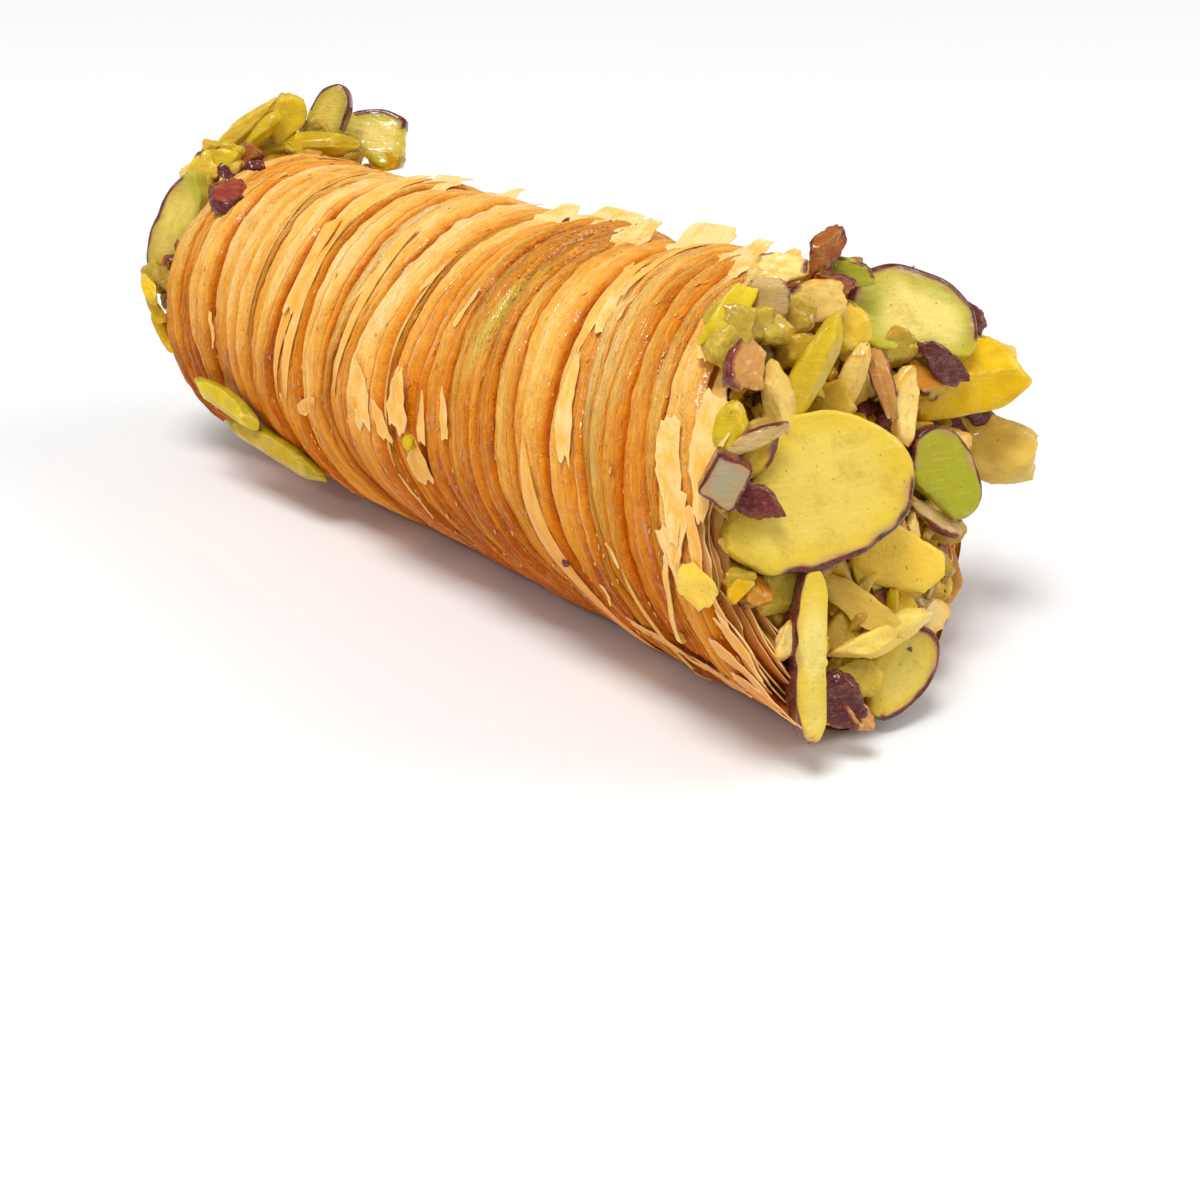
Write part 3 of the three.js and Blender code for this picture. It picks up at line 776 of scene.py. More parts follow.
def peeled_strips():
    """Leaves that came away from the fold they follow, torn off at one end and tapering at the other."""
    pile, dice = Pile(), chance(STRIP_DICE)
    across = np.array([-1, -0.5, 0.1, 0.6, 1])
    share = np.linspace(-1, 1, STRIP_COLUMNS)
    for number in range(STRIPS):
        k = int(dice.integers(1, FOLDS - 1))
        middle, span = radians(dice.uniform(-30, 225)), dice.uniform(0.3, 0.75)
        turns = middle + share * span
        fold = Fold(k, fold_edges(turns), turns)
        if abs(fold.start.mean() - 14.0) < 3.5:      # none over the streak of paste
            continue
        at, broad, way = dice.uniform(0.06, 0.3), dice.uniform(0.16, 0.32), dice.choice([-1, 1])
        taper = np.where(share * way > 0, 1 - np.abs(share) ** 1.6, 1.0)
        half = broad * taper ** 0.8 * (1 + 0.05 * round_ripple(turns, number, 30, 9000 + number)) + 0.01
        ends = dice.uniform(0.15, 0.4) * smooth(-share * way, 0.4, 1.0)
        rows = []
        for a in across:
            x, rise = fold.spot(np.clip(at + broad + a * half, 0.02, 0.95))
            torn = dice.uniform(-0.1, 0.05) * smooth(-share * way, 0.6, 1.0) * way
            rows.append(skin_point(x, turns - torn, rise + 0.08 + ends + 0.05 * (1 - a * a)))
        grid = np.array(rows)
        around = np.broadcast_to(turns * GRAIN_RADIUS, grid.shape[:2])
        grain = np.stack([across[:, None] + 4.0 * number + 0 * around, around, 0 * around], -1)
        tone = np.clip(0.2 + 0.2 * dice.uniform(0, 1) + 0.6 * soaked(grid[..., 0], turns), 0, 1)
        rim = np.array([0.8, 0.2, 0, 0, 0.2])[:, None] + 0 * tone
        pile.add_sheet(grid, STRIP_SHEET, grain, tone, rim)
    pile.make("peeled_strips", FLAKE, "pastry", sharp=45)


def syrup_beads():
    """Beads of syrup caught along the creases, thickest where the skin is soaked."""
    pile, dice = Pile(), chance(BEAD_DICE)
    points, faces = BALLS[CRUMB]
    for _ in range(BEAD_TRIES):
        k = int(dice.integers(1, FOLDS))
        turns = np.array([radians(dice.uniform(20, 225))])
        fold = Fold(k, fold_edges(turns), turns)
        u = float(dice.choice([0.03, 0.96, 0.9])) if dice.uniform() < 0.7 else dice.uniform(0.1, 0.9)
        x, rise = fold.spot(np.array([u]))
        if dice.uniform() > 0.2 + 1.8 * soaked(x, turns)[0]:
            continue
        size = dice.uniform(0.05, 0.14) * np.array([1.0, dice.uniform(1.2, 3.6), 0.8])
        y, z = polar(1, turns[0])
        ways = np.array([[1, 0, 0], [0, z, -y], [0, y, z]])
        pile.add((points * size) @ ways + skin_point(x, turns, rise + 0.05)[0], faces)
    pile.make("syrup_beads", SYRUP, "pastry")


# ---- cream and the wet bed under the nuts ----
def cream_core():
    turns = FULL * np.arange(CORE_COLUMNS) / CORE_COLUMNS
    shares = np.linspace(0.04, 1, 14)
    rows = []
    for end in (BACK, FRONT):
        for share in shares[::-end.sign]:
            lift = 0.12 * share * round_ripple(turns, 3 * share, 3, 60)
            rows.append(end_point(end, (end.radius - WALL - GAP) * share, turns, lift))
    make_piece("cream_core", rows, tube_faces(len(rows), CORE_COLUMNS), CREAM,
               stands_for=["pistachio_cream"])


# the end it lies on, its reach and how much more of it towards an angle, how high it stands,
# where its chances start, how much is missing from the bare patch, and how far its bed is trimmed
Heap = namedtuple("Heap", "end reach spread towards rise seed bare trim")
FRONT_HEAP = Heap(FRONT, 17.6, 2.4, 45, 3.0, 71, 4.6, 1.0)
BACK_HEAP = Heap(BACK, 16.4, 2.2, 85, 2.2, 81, 1.0, 1.8)


def heap_edge(heap, turn):
    out = heap.reach + heap.spread * np.cos(turn - radians(heap.towards)) + 0.5 * np.sin(7 * turn)
    out = out - heap.bare * bell(turn % FULL, radians(322), 0.5)
    room = (heap.end.radius - FLAT - 1.2) / np.maximum(-np.sin(turn), 0.05)
    return np.where(np.sin(turn) < 0, np.minimum(out, room), out)


def bed_lift(heap, share):
    """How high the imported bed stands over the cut, from its middle (0) to its edge (1)."""
    return GAP + heap.rise * 0.82 * (1.0 - 0.62 * share ** 4)


def bed_lumps(heap, points):
    return 0.6 * (ripple(points, 1.9, heap.seed, 24) + 0.5 * ripple(points, 0.9, heap.seed + 1, 24))


def nut_bed(node, heap):
    turns = FULL * np.arange(BED_COLUMNS) / BED_COLUMNS
    edge = heap_edge(heap, turns) - heap.trim
    rings = [(0.9, 0.1), (0.97, 0.35)] + [(s, bed_lift(heap, s)) for s in np.linspace(1, 0.02, 44)]
    points = np.array([end_point(heap.end, share * edge, turns, lift + 0 * turns) for share, lift in rings])
    lumps = bed_lumps(heap, points)
    points[2:, :, 0] += heap.end.sign * lumps[2:]
    points[..., 2] = np.maximum(points[..., 2], 0.3)
    # tint: darker in the hollows between the lumps and lighter on their tops, the syrup's colour with painted
    # shade in the hollows
    tint = mix(np.array(shade(132, 58, 6)), np.array(shade(188, 140, 34)), smooth(lumps, -0.6, 0.72))
    faces = tube_faces(len(rings), BED_COLUMNS, flipped=heap.end is BACK)
    make_piece(node + "_bed", points, faces, PASTE, {"tint": tint.reshape(-1, 3)}, [node])


# ---- kernel slices ----
TINTS = {
    # as they look on a screen
    "heart": (241, 218, 120), "straw": (228, 200, 90), "flesh": (226, 192, 60), "honey": (252, 208, 74),
    "mustard": (206, 162, 34), "leaf": (170, 168, 40), "moss": (178, 160, 18), "bright": (226, 200, 34),
    "lime": (210, 184, 0), "amber": (232, 190, 0), "gold": (212, 164, 0), "butter": (246, 214, 108),
    "lilac": (186, 142, 96), "skin": (94, 27, 28), "russet": (168, 90, 44), "toast": (206, 138, 44),
    "pink": (214, 158, 100), "cream": (253, 222, 138), "olive": (192, 168, 58), "grey": (168, 156, 130),
    "pearl": (214, 188, 142), "ruby": (158, 60, 56), "tan": (244, 194, 96),
}
TINTS = {name: np.array(shade(*colour)) for name, colour in TINTS.items()}
SLICE_RINGS = np.array([1, .985, .965, .94, .91, .87, .82, .76, .69, .61, .52, .43, .34, .25, .16, .07])


def trimmed_oval(size, cuts, phi, seed):
    """The outline of an oval kernel before and after it was trimmed by knife cuts."""
    a, b = size[0] / 2, size[1] / 2
    oval = a * b / np.hypot(b * np.cos(phi), a * np.sin(phi))
    reach = oval
    for direction, distance in cuts:
        facing = np.cos(phi - radians(direction))
        reach = np.where(facing > 0.01, np.minimum(reach, distance / np.maximum(facing, 0.01)), reach)
    cut = smooth(oval - reach, 0.05, 0.5)
    ring = np.stack(polar(1, phi), -1)
    rough = size[0] / 12
    nibbled = 0.05 * rough * ripple(ring * reach[:, None], 1.6, seed + 1)
    reach = reach * (1 + 0.02 * ripple(ring, 0.7, seed)) + nibbled
    return oval, reach + cut * 0.06 * rough ** 2 * ripple(ring * reach[:, None], 0.55, seed + 2)


def skin_arcs(phi, arcs):
    """1 where the outline still carries its skin, over arcs given in degrees."""
    skinned = np.zeros(len(phi))
    for low, high in arcs:
        middle, half = radians((low + high) / 2), radians((high - low) / 2)
        off = np.abs((phi - middle + pi) % FULL - pi)
        skinned = np.maximum(skinned, smooth(half - off, -0.03, 0.08))
    return skinned


def slice_tint(spot, share, inset, skinned, looks, rind, seed):
    """Flesh with a paler heart: the colour at each spot, and how far it is skin (`rind` where given)."""
    flesh, heart, edge, depth = looks
    tone = mix(TINTS[flesh], TINTS[heart], smooth(share + 0.12 * ripple(spot, 3.5, seed + 5), 1.0, 0.3))
    tone = mix(TINTS[edge], tone, smooth(inset + 0.3 * ripple(spot, 1.8, seed + 6), 0.1, 1.5) * 0.55 + 0.45)
    near = smooth(inset + 0.2 * ripple(spot, 1.8, seed + 7), 1.6 * depth + 0.3, depth - 0.2)
    tone = mix(tone, TINTS["lilac"], skinned * near * 0.7)
    if rind is None:
        rind = smooth(inset + 0.08 * ripple(spot, 1.2, seed + 8), depth, depth * 0.6)
    hue = TINTS["skin"] * (1 + 0.4 * ripple(spot, 1.1, seed + 9)[:, None].clip(-1, 1))
    return mix(tone, hue, skinned * rind), skinned * rind


def slice_body(place, size, faces, spin, cuts, arcs, looks, seed, count=SLICE_COLUMNS):
    """A slice of kernel with skin along the given arcs and torn edges where it was cut."""
    phi = FULL * np.arange(count) / count
    oval, reach = trimmed_oval(size, cuts, phi, seed)
    skinned = skin_arcs(phi, arcs)
    rows, tints, masks = [], [], []

    def lay(scale, height, inset, rind=None):
        spot = np.stack(polar(reach * scale, phi), -1)
        tint, mask = slice_tint(spot, reach * scale / oval, inset, skinned, looks, rind, seed)
        rows.append(np.concatenate([spot, (height + 0 * phi)[:, None]], -1))
        tints.append(tint)
        masks.append(mask)

    for scale in SLICE_RINGS[::-1]:
        inset = reach * (1 - scale)
        spot = np.stack(polar(reach * scale, phi), -1)
        relief = 0.02 * ripple(spot * [0.4, 1.8], 0.9, seed + 3) + 0.08 * ripple(spot, 4.0, seed + 4)
        lay(scale, size[2] / 2 - 0.22 * np.exp(-inset / 0.2) + relief * smooth(inset, 0, 0.8), inset)
    for height in (0.36, 0.2, 0.0, -0.2, -0.36):
        marks = np.stack([phi * size[0] / 2, 0 * phi + height * 9], -1)
        swell = 1 + 0.012 * (1 - abs(height) * 2) + 0.006 * ripple(marks, 1.4, seed + 10)
        lay(swell, size[2] * height, 0 * phi, 1.0)
    for scale in SLICE_RINGS[[0, 1, 3, 6, 9, 12, 15]]:
        inset = reach * (1 - scale)
        lay(scale, 0.2 * np.exp(-inset / 0.16) - size[2] / 2, inset)
    points = np.array(rows).reshape(-1, 3) @ face_frame(*faces, spin) + place
    fields = {"tint": np.concatenate(tints), "skin": np.concatenate(masks)}
    return points, tube_faces(len(rows), count, flipped=True), fields


# flesh, heart, edge, and how far in from the edge the skin shows
YELLOW, STRAW = ("leaf", "heart", "bright", 0.6), ("flesh", "straw", "flesh", 0.55)
HONEY, DEEP = ("honey", "honey", "flesh", 0.4), ("olive", "straw", "leaf", 0.35)
LEAFY, GREY = ("leaf", "leaf", "leaf", 0.3), ("grey", "grey", "lilac", 0.3)
SHADED, LIGHT = ("olive", "straw", "leaf", 0.75), ("flesh", "heart", "flesh", 0.25)
SLICES = [
    # node, end, clock, out, lift, size, faces, spin, cuts, arcs of skin, looks
    ("slice_front_broad", FRONT, 151, 10.0, 5.2, (18.0, 12.2, 2.2), (-20, 26), 4, [(139, 5.0), (163, 6.9)],
     [(232, 356)], STRAW),
    ("slice_front_top", FRONT, 56, 16.5, 4.6, (12.3, 8.5, 2.0), (-18, 30), -23, [(-78, 3.0), (211, 5.7)],
     [(-6, 208)], YELLOW),
    ("slab_front", FRONT, 294, 4.9, 4.6, (10.6, 6.6, 2.4), (-24, 32), -11,
     [(62, 2.4), (4, 3.2), (-50, 2.7), (-96, 2.2), (36, 3.1)], [], HONEY),
    ("sliver_front_long", FRONT, 212, 13.7, 4.0, (14.2, 3.3, 3.0), (-28, 18), 86,
     [(-90, 1.1), (5, 6.8), (188, 6.8)], [(4, 182)], LIGHT),
    ("slice_front_low", FRONT, 265, 12.7, 3.6, (9.4, 5.9, 2.0), (-20, 20), 38, [(139, 2.7), (182, 3.9)],
     [(196, 384)], STRAW),
    ("kernel_front_green", FRONT, 7, 9.4, 4.6, (8.7, 5.6, 3.0), (-25, 18), -66, [(-70, 2.5)],
     [(22, 236)], LEAFY),
    ("slice_back_side", BACK, 140, 16.0, 2.4, (12.7, 5.2, 2.0), (-72, 12), 63, [(-91, 2.4), (-40, 4.7)],
     [(12, 195)], SHADED),
    ("slice_back_peak", BACK, 67, 20.4, 3.0, (8.3, 4.3, 2.0), (-50, 20), 67, [(178, 2.8), (222, 4.0)],
     [(-105, 90)], DEEP),
    ("slice_back_far", BACK, 47, 21.2, 3.0, (10.2, 6.5, 2.2), (-45, 25), -11, [(248, 2.6), (6, 3.1)],
     [(30, 148)], YELLOW),
]
# thicker bits of kernel, cut on every side
CHUNKS = [
    # node, end, clock, out, lift, size, faces, spin, kind, cuts as direction, slant and distance
    ("wedge_front", FRONT, 27, 16.0, 5.4, (13.2, 9.0, 6.6), (-30, 6), 4, "wedge",
     [(0, 84, 0.52), (0, -90, 0.6), (88, 28, 0.52), (-88, 12, 0.58), (26, 6, 0.78), (-44, 10, 0.74),
      (178, 0, 0.8)]),
    ("sliver_back_top", BACK, 82, 16.8, 1.4, (14.6, 3.4, 3.0), (-50, 30), 7, "sliver",
     [(90, 55, 0.66), (-90, 35, 0.62), (4, 30, 0.85), (186, -20, 0.88), (0, 85, 0.7)]),
]
FLANK_SLIVERS = [
    # node, along, angle round, how far it stands off, then as above
    ("sliver_flank_rear", -27.5, 198, 1.3, (12.6, 3.2, 2.4), (-92, -18), -8, "sliver",
     [(90, 45, 0.7), (-90, 40, 0.74), (8, 20, 0.88), (180, 30, 0.85), (0, 88, 0.75)]),
    ("sliver_flank_front", -20.5, 210, 1.5, (17.0, 3.6, 2.6), (-90, -30), -9, "sliver",
     [(90, 40, 0.68), (-90, 45, 0.74), (-10, 25, 0.88), (176, -20, 0.86), (0, 86, 0.72)]),
]


def kernel_chunk(node, place, size, faces, spin, kind, cuts, seed):
    """A bit cut by the knife as told: direction in its face, slant towards the face and distance."""
    planes = [[*face_frame(direction, slant, 0)[2], distance] for direction, slant, distance in cuts]
    pile = Pile()
    chopped(pile, kind, place, size, faces, spin, seed, CHUNK, np.array(planes))
    pile.make(node + "_kernel", KERNEL, "kernel", [node], sharp=60)


def all_slices():
    for number, (node, end, clock, out, lift, *shape) in enumerate(SLICES):
        place = end_point(end, out, radians(clock), lift)
        points, quads, fields = slice_body(place, *shape, 2000 + 50 * number)
        make_piece(node + "_kernel", points, quads, KERNEL, fields, [node], sharp=60)
    for number, (node, end, clock, out, lift, *shape) in enumerate(CHUNKS):
        kernel_chunk(node, end_point(end, out, radians(clock), lift), *shape, 2600 + 50 * number)
    for number, (node, along, turn, stand, *shape) in enumerate(FLANK_SLIVERS):
        y, z = polar(radius_at(along) + stand, radians(turn))
        kernel_chunk(node, np.array([along, y, radius_at(along) + z - FLAT]), *shape, 2800 + 50 * number)


# ---- chopped nuts ----
KINDS = {
    # cut faces, their broken edges, outer surface, share of it that keeps its skin, knife cuts, roughness
    "kernel": ("straw", "tan", "mustard", 0.25, 7, 0.05), "flesh": ("flesh", "heart", "bright", 0.1, 7, 0.05),
    "pale": ("cream", "toast", "tan", 0.1, 6, 0.05), "green": ("bright", "butter", "lime", 0.0, 5, 0.03),
    "leafy": ("leaf", "bright", "leaf", 0.3, 3, 0.04), "olive": ("olive", "flesh", "mustard", 0.0, 6, 0.06),
    "skin": ("skin", "russet", "skin", 1.0, 3, 0.08), "capped": ("pearl", "pink", "skin", 1.0, 6, 0.05),
    "russet": ("russet", "toast", "skin", 0.9, 5, 0.08), "pink": ("pink", "cream", "skin", 0.9, 6, 0.08),
    "toast": ("toast", "tan", "mustard", 0.4, 5, 0.06), "wedge": ("amber", "butter", "gold", 0.0, 7, 0.015),
    "sliver": ("lime", "butter", "moss", 0.0, 5, 0.02), "amber": ("amber", "heart", "gold", 0.0, 7, 0.03),
    "honey": ("honey", "butter", "honey", 0.0, 7, 0.06), "ruby": ("ruby", "skin", "skin", 1.0, 4, 0.09),
    "butter": ("butter", "cream", "butter", 0.0, 7, 0.05),
}
CRISP = 24      # how sharply two cuts meet


def knife_cuts(dice, count):
    """Random planes round a bit: both faces, both ends, then wherever the knife fell."""
    planes = []
    for n in range(count):
        if n < 2:
            way = np.array([0.2 * dice.normal(), 0.25 * dice.normal(), 1.0 if n else -1.0])
            reach = dice.uniform(0.4, 0.6)
        elif n < 4:
            way = np.array([1.0 if n == 2 else -1.0, 0.6 * dice.normal(), 0.4 * dice.normal()])
            reach = dice.uniform(0.6, 0.82)
        else:
            way, reach = dice.normal(size=3) * [0.4, 1.0, 0.8], dice.uniform(0.5, 0.75)
        planes.append([*(way / np.linalg.norm(way)), reach])
    return np.array(planes)


def chopped(pile, kind, place, size, faces, spin, seed, detail=BIT, planes=None):
    """One bit of kernel: a rounded body trimmed by knife cuts, its edges slightly broken."""
    inner, edge, outer, skinned, knives, rough = KINDS[kind]
    dice = chance(seed)
    if planes is None:
        planes, size = knife_cuts(dice, knives), np.array(size) * [1.25, 1.4, 1.55]
    rays, triangles = BALLS[detail]
    pull = np.maximum(rays @ planes[:, :3].T / planes[:, 3], 0) ** CRISP
    total = 1 + pull.sum(1)
    was_cut = smooth(1 - 1 / total, 0.3, 0.7)
    broken = smooth(1 - np.maximum(pull.max(1), 1) / total, 0.2, 0.5)
    points = rays * total[:, None] ** (-1 / CRISP)
    uneven = rough * (ripple(points, 0.5, seed + 1) + 0.7 * ripple(points, 0.22, seed + 2))
    points = points * (1 + uneven)[:, None] * np.array(size) / 2
    bend = 0.07 * size[0] * dice.uniform(-1, 1)
    points[:, 2] += bend * (2 * points[:, 0] / size[0]) ** 2
    mottle = np.clip(0.5 + 0.5 * ripple(points, 1.1, seed + 3) + 0.3 * ripple(points, 0.5, seed + 5), 0, 1)
    inside = mix(TINTS[inner], TINTS[inner] * [0.86, 0.78, 0.6], mottle * 0.6)
    inside = mix(inside, TINTS[edge], broken * 0.7)
    outside = mix(TINTS[outer], TINTS[outer] * 0.7, mottle * 0.5)
    left = smooth(ripple(points, 1.6, seed + 4), 0.9 - 2.2 * skinned, 1.2 - 2.2 * skinned)
    bark = inner == "skin"
    skin = np.maximum((1 - was_cut) * left * (skinned > 0), float(bark))
    syrupy = dice.uniform(0.68, 1.08) if detail < NAMED_BIT else dice.uniform(0.82, 1.1)
    tone = mix(outside, inside, was_cut) * [syrupy, 0.95 * syrupy ** 1.4, 0.8 * syrupy ** 2.6]
    tone = mix(tone, TINTS["skin"] * dice.uniform(0.8, 1.7), 0.6 + 0 * skin if bark else skin)
    pile.add(points @ face_frame(*faces, spin) + place, triangles, tint=tone, skin=skin)


FRONT_BITS = [
    # kind, clock, out, lift, size, spin
    ("russet", 89, 20.8, 4.2, (4.4, 1.8, 1.1), 42), ("leafy", 82, 18.9, 4.0, (4.6, 1.6, 1.0), -18),
    ("russet", 90, 18.4, 4.6, (3.8, 1.5, 1.6), -19), ("pale", 99, 17.8, 4.6, (5.8, 2.6, 2.2), -2),
    ("capped", 112, 20.4, 4.2, (3.4, 2.4, 2.2), -65), ("olive", 122, 20.6, 2.6, (3.6, 3.4, 3.0), 5),
    ("green", 121, 21.4, 2.8, (5.8, 1.7, 1.2), 48), ("pale", 104, 20.6, 3.2, (4.4, 2.6, 1.8), 20),
    ("olive", 127, 19.9, 2.2, (2.8, 2.6, 2.4), 24), ("olive", 119, 19.4, 3.2, (2.8, 3.0, 2.6), -48),
    ("olive", 115, 18.6, 4.0, (3.0, 2.8, 2.6), -5), ("olive", 107, 18.0, 4.0, (3.2, 3.0, 2.6), -30),
    ("flesh", 110, 15.6, 4.0, (3.4, 2.8, 2.8), -5), ("flesh", 88, 14.6, 4.2, (4.6, 3.6, 2.6), -59),
    ("green", 116, 15.0, 6.2, (8.6, 2.1, 1.6), -121), ("pale", 93, 11.4, 5.2, (5.0, 1.6, 1.3), -112),
    ("pink", 70, 10.4, 4.8, (6.0, 1.5, 1.4), -76), ("pale", 129, 15.2, 4.6, (5.2, 2.4, 2.2), -74),
    ("pink", 128, 18.4, 3.6, (4.0, 2.6, 2.2), -116), ("capped", 143, 16.6, 5.0, (4.8, 1.2, 1.3), -158),
    ("flesh", 148, 15.6, 4.0, (4.4, 2.0, 1.8), -122), ("green", 144, 17.4, 2.9, (3.8, 1.9, 1.8), -103),
    ("skin", 159, 15.6, 4.8, (3.8, 1.9, 1.3), -46),
    ("skin", 45, 14.4, 6.8, (5.0, 1.7, 0.7), -43), ("toast", 45, 12.8, 4.8, (3.8, 2.4, 1.6), -43),
    ("pale", 49, 9.4, 4.4, (5.6, 2.4, 2.2), 80), ("flesh", 105, 10.4, 3.9, (4.2, 3.2, 2.6), 8),
    ("butter", 19, 21.8, 3.0, (6.8, 5.0, 3.6), -57), ("skin", 33, 21.6, 4.2, (3.4, 1.6, 1.0), -39),
    ("butter", 2, 19.0, 3.0, (8.6, 5.0, 3.8), -20), ("capped", 342, 8.6, 4.2, (5.8, 1.5, 1.2), -38),
    ("olive", 60, 13.4, 4.0, (4.2, 2.6, 2.0), 30), ("flesh", 279, 7.9, 3.2, (4.2, 3.4, 2.6), -57),
    ("butter", 226, 7.2, 5.0, (7.2, 2.2, 1.9), -39), ("butter", 244, 8.9, 5.6, (8.8, 2.4, 2.0), 8),
    ("olive", 192, 11.9, 2.8, (5.4, 3.8, 2.6), -4), ("olive", 182, 16.0, 2.2, (2.2, 1.8, 1.8), -26),
    ("toast", 187, 15.2, 2.6, (3.0, 1.9, 1.9), -59), ("amber", 184, 16.6, 2.6, (2.2, 1.4, 1.4), 30),
    ("skin", 233, 15.0, 4.2, (4.2, 2.7, 1.8), -71), ("pink", 238, 15.4, 4.8, (3.8, 1.6, 1.2), -63),
    ("olive", 230, 9.9, 3.2, (3.4, 3.2, 2.4), -17), ("olive", 243, 12.4, 3.2, (3.6, 3.2, 2.6), -8),
    ("pale", 204, 14.4, 3.4, (3.0, 1.4, 1.2), 56),
]
BACK_BITS = [
    ("green", 113, 17.6, 2.2, (4.8, 2.2, 1.8), -177), ("flesh", 123, 17.2, 2.2, (5.8, 2.4, 1.8), -107),
    ("skin", 118, 15.6, 0.6, (4.8, 2.8, 1.2), -105), ("russet", 103, 16.9, 1.2, (2.8, 2.2, 1.6), 12),
    ("green", 83, 19.9, 3.0, (5.6, 3.4, 2.6), -98), ("green", 94, 18.6, 3.0, (5.8, 2.0, 1.6), 43),
    ("flesh", 97, 19.2, 3.8, (8.4, 1.8, 1.6), 38), ("flesh", 112, 18.9, 3.0, (2.2, 1.7, 1.4), -10),
    ("flesh", 109, 18.0, 2.2, (2.6, 1.8, 1.4), 19), ("pale", 123, 18.0, 3.0, (2.4, 1.8, 1.4), -21),
    ("amber", 166, 17.8, 1.0, (3.6, 1.3, 0.7), -50), ("amber", 174, 17.0, 1.0, (4.2, 1.4, 0.7), -48),
    ("amber", 183, 16.2, 1.0, (4.8, 1.3, 0.7), -55), ("olive", 58, 18.0, 1.7, (3.0, 2.6, 2.0), -17),
    ("olive", 73, 18.8, 2.0, (3.4, 2.2, 1.8), 3), ("pale", 84, 20.6, 4.6, (2.8, 1.8, 1.6), 8),
    ("olive", 162, 16.6, 2.0, (3.0, 2.6, 2.0), -39), ("amber", 43, 19.2, 1.4, (4.0, 2.4, 1.8), 10),
]
SKIN_BITS = [
    # bits stuck to the skin of the roll: kind, along, angle round, stand, size, spin
    ("green", 7.1, 180, 0.6, (1.1, 1.1, 1.0), 0), ("honey", 43.4, 183, 0.6, (3.9, 3.0, 0.6), 48),
    ("ruby", -34.6, 125, 0.6, (4.2, 3.4, 1.9), 20), ("kernel", 36.5, 207, 0.2, (1.2, 0.8, 0.6), 20),
    ("skin", 24.0, 199, 0.15, (0.7, 0.5, 0.4), 0),
]


def named_bits(bits, piles):
    """The bits that catch the eye, then those stuck to the skin of the roll."""
    seed = BIT_DICE
    for end, looks, table in ((FRONT, (-25, 20), FRONT_BITS), (BACK, (-55, 22), BACK_BITS)):
        for kind, clock, out, lift, size, spin in table:
            seed += 11
            dice = chance(seed)
            faces = (looks[0] + dice.uniform(-14, 14), looks[1] + dice.uniform(-12, 12))
            place = end_point(end, out, radians(clock), lift)
            chopped(piles[kind], kind, place, size, faces, spin, seed, NAMED_BIT)
    for kind, along, turn, stand, size, spin in SKIN_BITS:
        seed += 11
        turn = radians(turn)
        faces = (degrees(atan2(cos(turn), 0.0)), degrees(asin(sin(turn))))
        chopped(bits, kind, skin_point(along, turn, stand), size, faces, spin, seed, NAMED_BIT)


def scattered(heap, count, seed, deep, proud, inner=0.0):
    """Places spread over a heap from `inner` out, each near the bed's surface, with its own dice."""
    for i in range(count):
        dice = chance(seed + 11 * i)
        turn = i * pi * (3 - sqrt(5)) + dice.uniform(-0.2, 0.2)
        share = sqrt(inner ** 2 + (1 - inner ** 2) * (i + 0.5) / count)
        out = share * (float(heap_edge(heap, turn)) - 1.3)
        ground = end_point(heap.end, out, turn, bed_lift(heap, share))
        lump = bed_lumps(heap, ground[None, :])[0]
        ground[0] += heap.end.sign * (lump + dice.uniform(-deep, proud))
        yield ground, dice, seed + 11 * i


def heaped_bits(heap, count, inner, piles):
    """The rest of a heap; round the edge of the back one, the top is left to the named bits."""
    kinds = "kernel flesh flesh butter olive olive pale green amber skin capped russet pink toast".split()
    for place, dice, number in scattered(heap, count, 20000 + 500 * count, 0.7, 0.8, inner):
        clock = degrees(atan2(place[2] - BACK.radius, place[1]))
        if inner and heap.end is BACK and 62 < clock < 100:
            continue
        size = np.array([dice.uniform(1.8, 4.8), dice.uniform(1.3, 2.6), dice.uniform(1.0, 2.0)])
        place[2] = max(place[2], 0.5 * size[0] + 0.2)
        azimuth = (0 if heap.end is FRONT else 180) + dice.uniform(-55, 55)
        kind = str(dice.choice(kinds))
        faces = (azimuth, dice.uniform(-35, 50))
        chopped(piles[kind], kind, place, size, faces, dice.uniform(0, 360), number)


def strewn_crumbs(heap, count, seed, crumbs):
    kinds = "flesh kernel olive pale skin russet green toast".split()
    for place, dice, number in scattered(heap, count, seed, 0.3, 0.5):
        place[2] = max(place[2], 0.6)
        size = dice.uniform(0.5, 1.4) * np.array([1.3, dice.uniform(0.5, 1.0), dice.uniform(0.5, 0.9)])
        kind = str(dice.choice(kinds))
        faces = (dice.uniform(-180, 180), dice.uniform(-60, 60))
        chopped(crumbs, kind, place, size, faces, 0, number, CRUMB)


def chopped_nuts():
    """Both heaps: the bits that catch the eye, then the rest of each heap, and crumbs in every hollow."""
    bits, lumps, skins, crumbs = Pile(), Pile(), Pile(), Pile()
    piles = dict.fromkeys(KINDS, bits) | {"olive": lumps, "skin": skins, "capped": skins, "russet": skins}
    named_bits(bits, piles)
    grey_cuts = [(0, 1.5), (84, 1.8), (176, 1.6), (-100, 1.9)]
    points, quads, fields = slice_body(end_point(FRONT, 18.6, radians(155), 4.2), (4.2, 5.0, 2.8), (-44, 10),
                                       -22, grey_cuts, [(0, 360)], GREY, 2900, count=64)
    skins.add(points, quads, **fields)
    for heap, count, inner in ((FRONT_HEAP, 230, 0.0), (BACK_HEAP, 110, 0.0),
                               (FRONT_HEAP, 50, 0.85), (BACK_HEAP, 90, 0.82)):
        heaped_bits(heap, count, inner, piles)
    strewn_crumbs(FRONT_HEAP, 330, 150000, crumbs)
    strewn_crumbs(BACK_HEAP, 220, 141000, crumbs)
    bits.make("chopped_kernels", KERNEL, "chopped_nuts", sharp=50)
    lumps.make("paste_lumps", PASTE, "chopped_nuts")
    skins.make("skin_chips", KERNEL, "chopped_nuts", sharp=60)
    crumbs.make("nut_crumbs", KERNEL, "chopped_nuts", sharp=60)


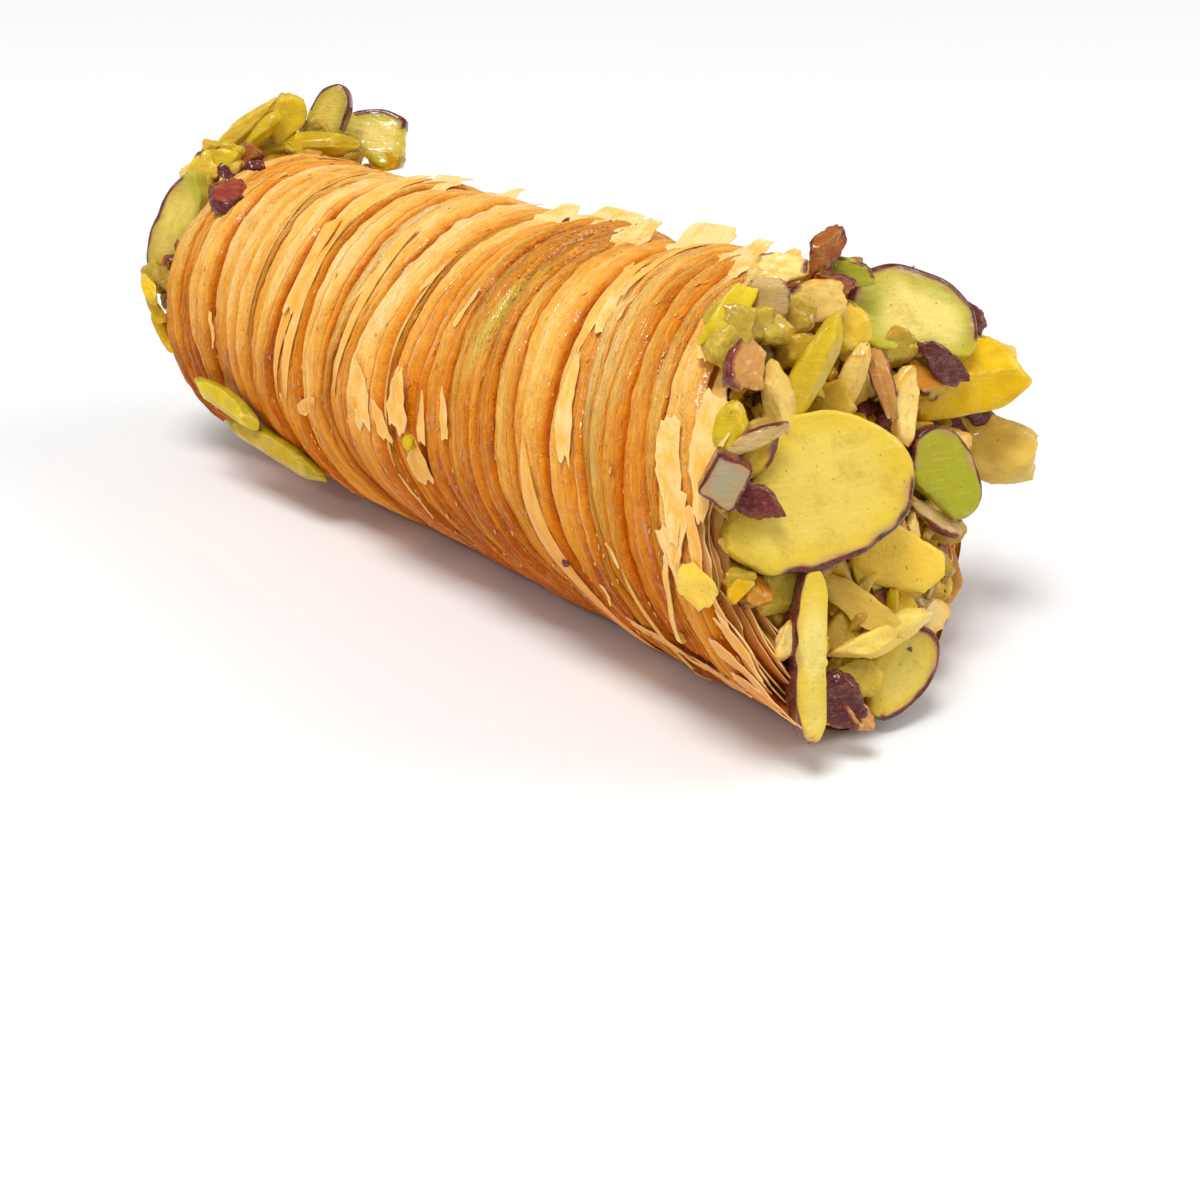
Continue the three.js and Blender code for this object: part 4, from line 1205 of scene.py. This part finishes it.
# ---- studio, in metres but for the camera's place, which is in millimetres from the roll's own zero ----
FLOOR_SIZE, AIR_LIGHT = 6.0, 0.34
CAMERA_PLACE = (134.82, -108.25, 80.09 - FLAT)
CAMERA_TURN, CAMERA_RAISE = radians(48.3), radians(27.0)
SENSOR, LENS = 36.0, 54.48
LAMPS_AIM = Vector((0, 0, 0.015))
LAMPS = [
    # name, place, size, watts
    ("key", (0.2, -0.5, 1.5), 0.6, 18.2), ("fill", (-1.3, -0.9, 0.9), 1.0, 4.4),
    ("rim", (0.8, 1.0, 1.0), 0.8, 8.0), ("glint", (0.9, -1.5, 1.3), 0.12, 3.0),
]


def put(name, data, place, towards):
    """A lamp or camera at its place, looking along a direction."""
    thing = bpy.data.objects.new(name, data)
    thing.location = place
    thing.rotation_mode = "QUATERNION"
    thing.rotation_quaternion = towards.to_track_quat("-Z", "Y")
    bpy.context.scene.collection.objects.link(thing)
    return thing


def floor_and_air():
    bpy.ops.mesh.primitive_plane_add(size=FLOOR_SIZE, location=(0, 0, 0))
    floor = bpy.context.object
    floor.name = "floor"
    floor.data.materials.append(floor_finish())
    world = bpy.data.worlds.new("studio_air")
    bpy.context.scene.world = world
    world.use_nodes = True
    air = world.node_tree.nodes["Background"]
    air.inputs["Color"].default_value = (1.0, 1.0, 1.0, 1.0)
    air.inputs["Strength"].default_value = AIR_LIGHT


def lamps():
    for name, place, size, watts in LAMPS:
        lamp = bpy.data.lights.new(name, "AREA")
        lamp.size, lamp.energy = size, watts
        put(name, lamp, place, LAMPS_AIM - Vector(place))


def camera():
    lens = bpy.data.cameras.new("camera")
    lens.sensor_width, lens.lens = SENSOR, LENS
    lens.clip_start, lens.clip_end = 0.01, 20.0
    level = cos(CAMERA_RAISE)
    back = Vector((sin(CAMERA_TURN) * level, -cos(CAMERA_TURN) * level, sin(CAMERA_RAISE)))
    place = (Vector(ORIGIN) + Vector(CAMERA_PLACE)) / 1000
    bpy.context.scene.camera = put("camera", lens, place, -back)
    bpy.context.scene.view_settings.view_transform = "Standard"


gathered_leaves()
rim_leaves("front_rim_leaves", FRONT, 9, 3000)
rim_leaves("back_rim_leaves", BACK, 7, 3300)
peeled_strips()
torn_flakes()
syrup_beads()
cream_core()
nut_bed("nuts_front", FRONT_HEAP)
nut_bed("nuts_back", BACK_HEAP)
all_slices()
chopped_nuts()
floor_and_air()
lamps()
camera()
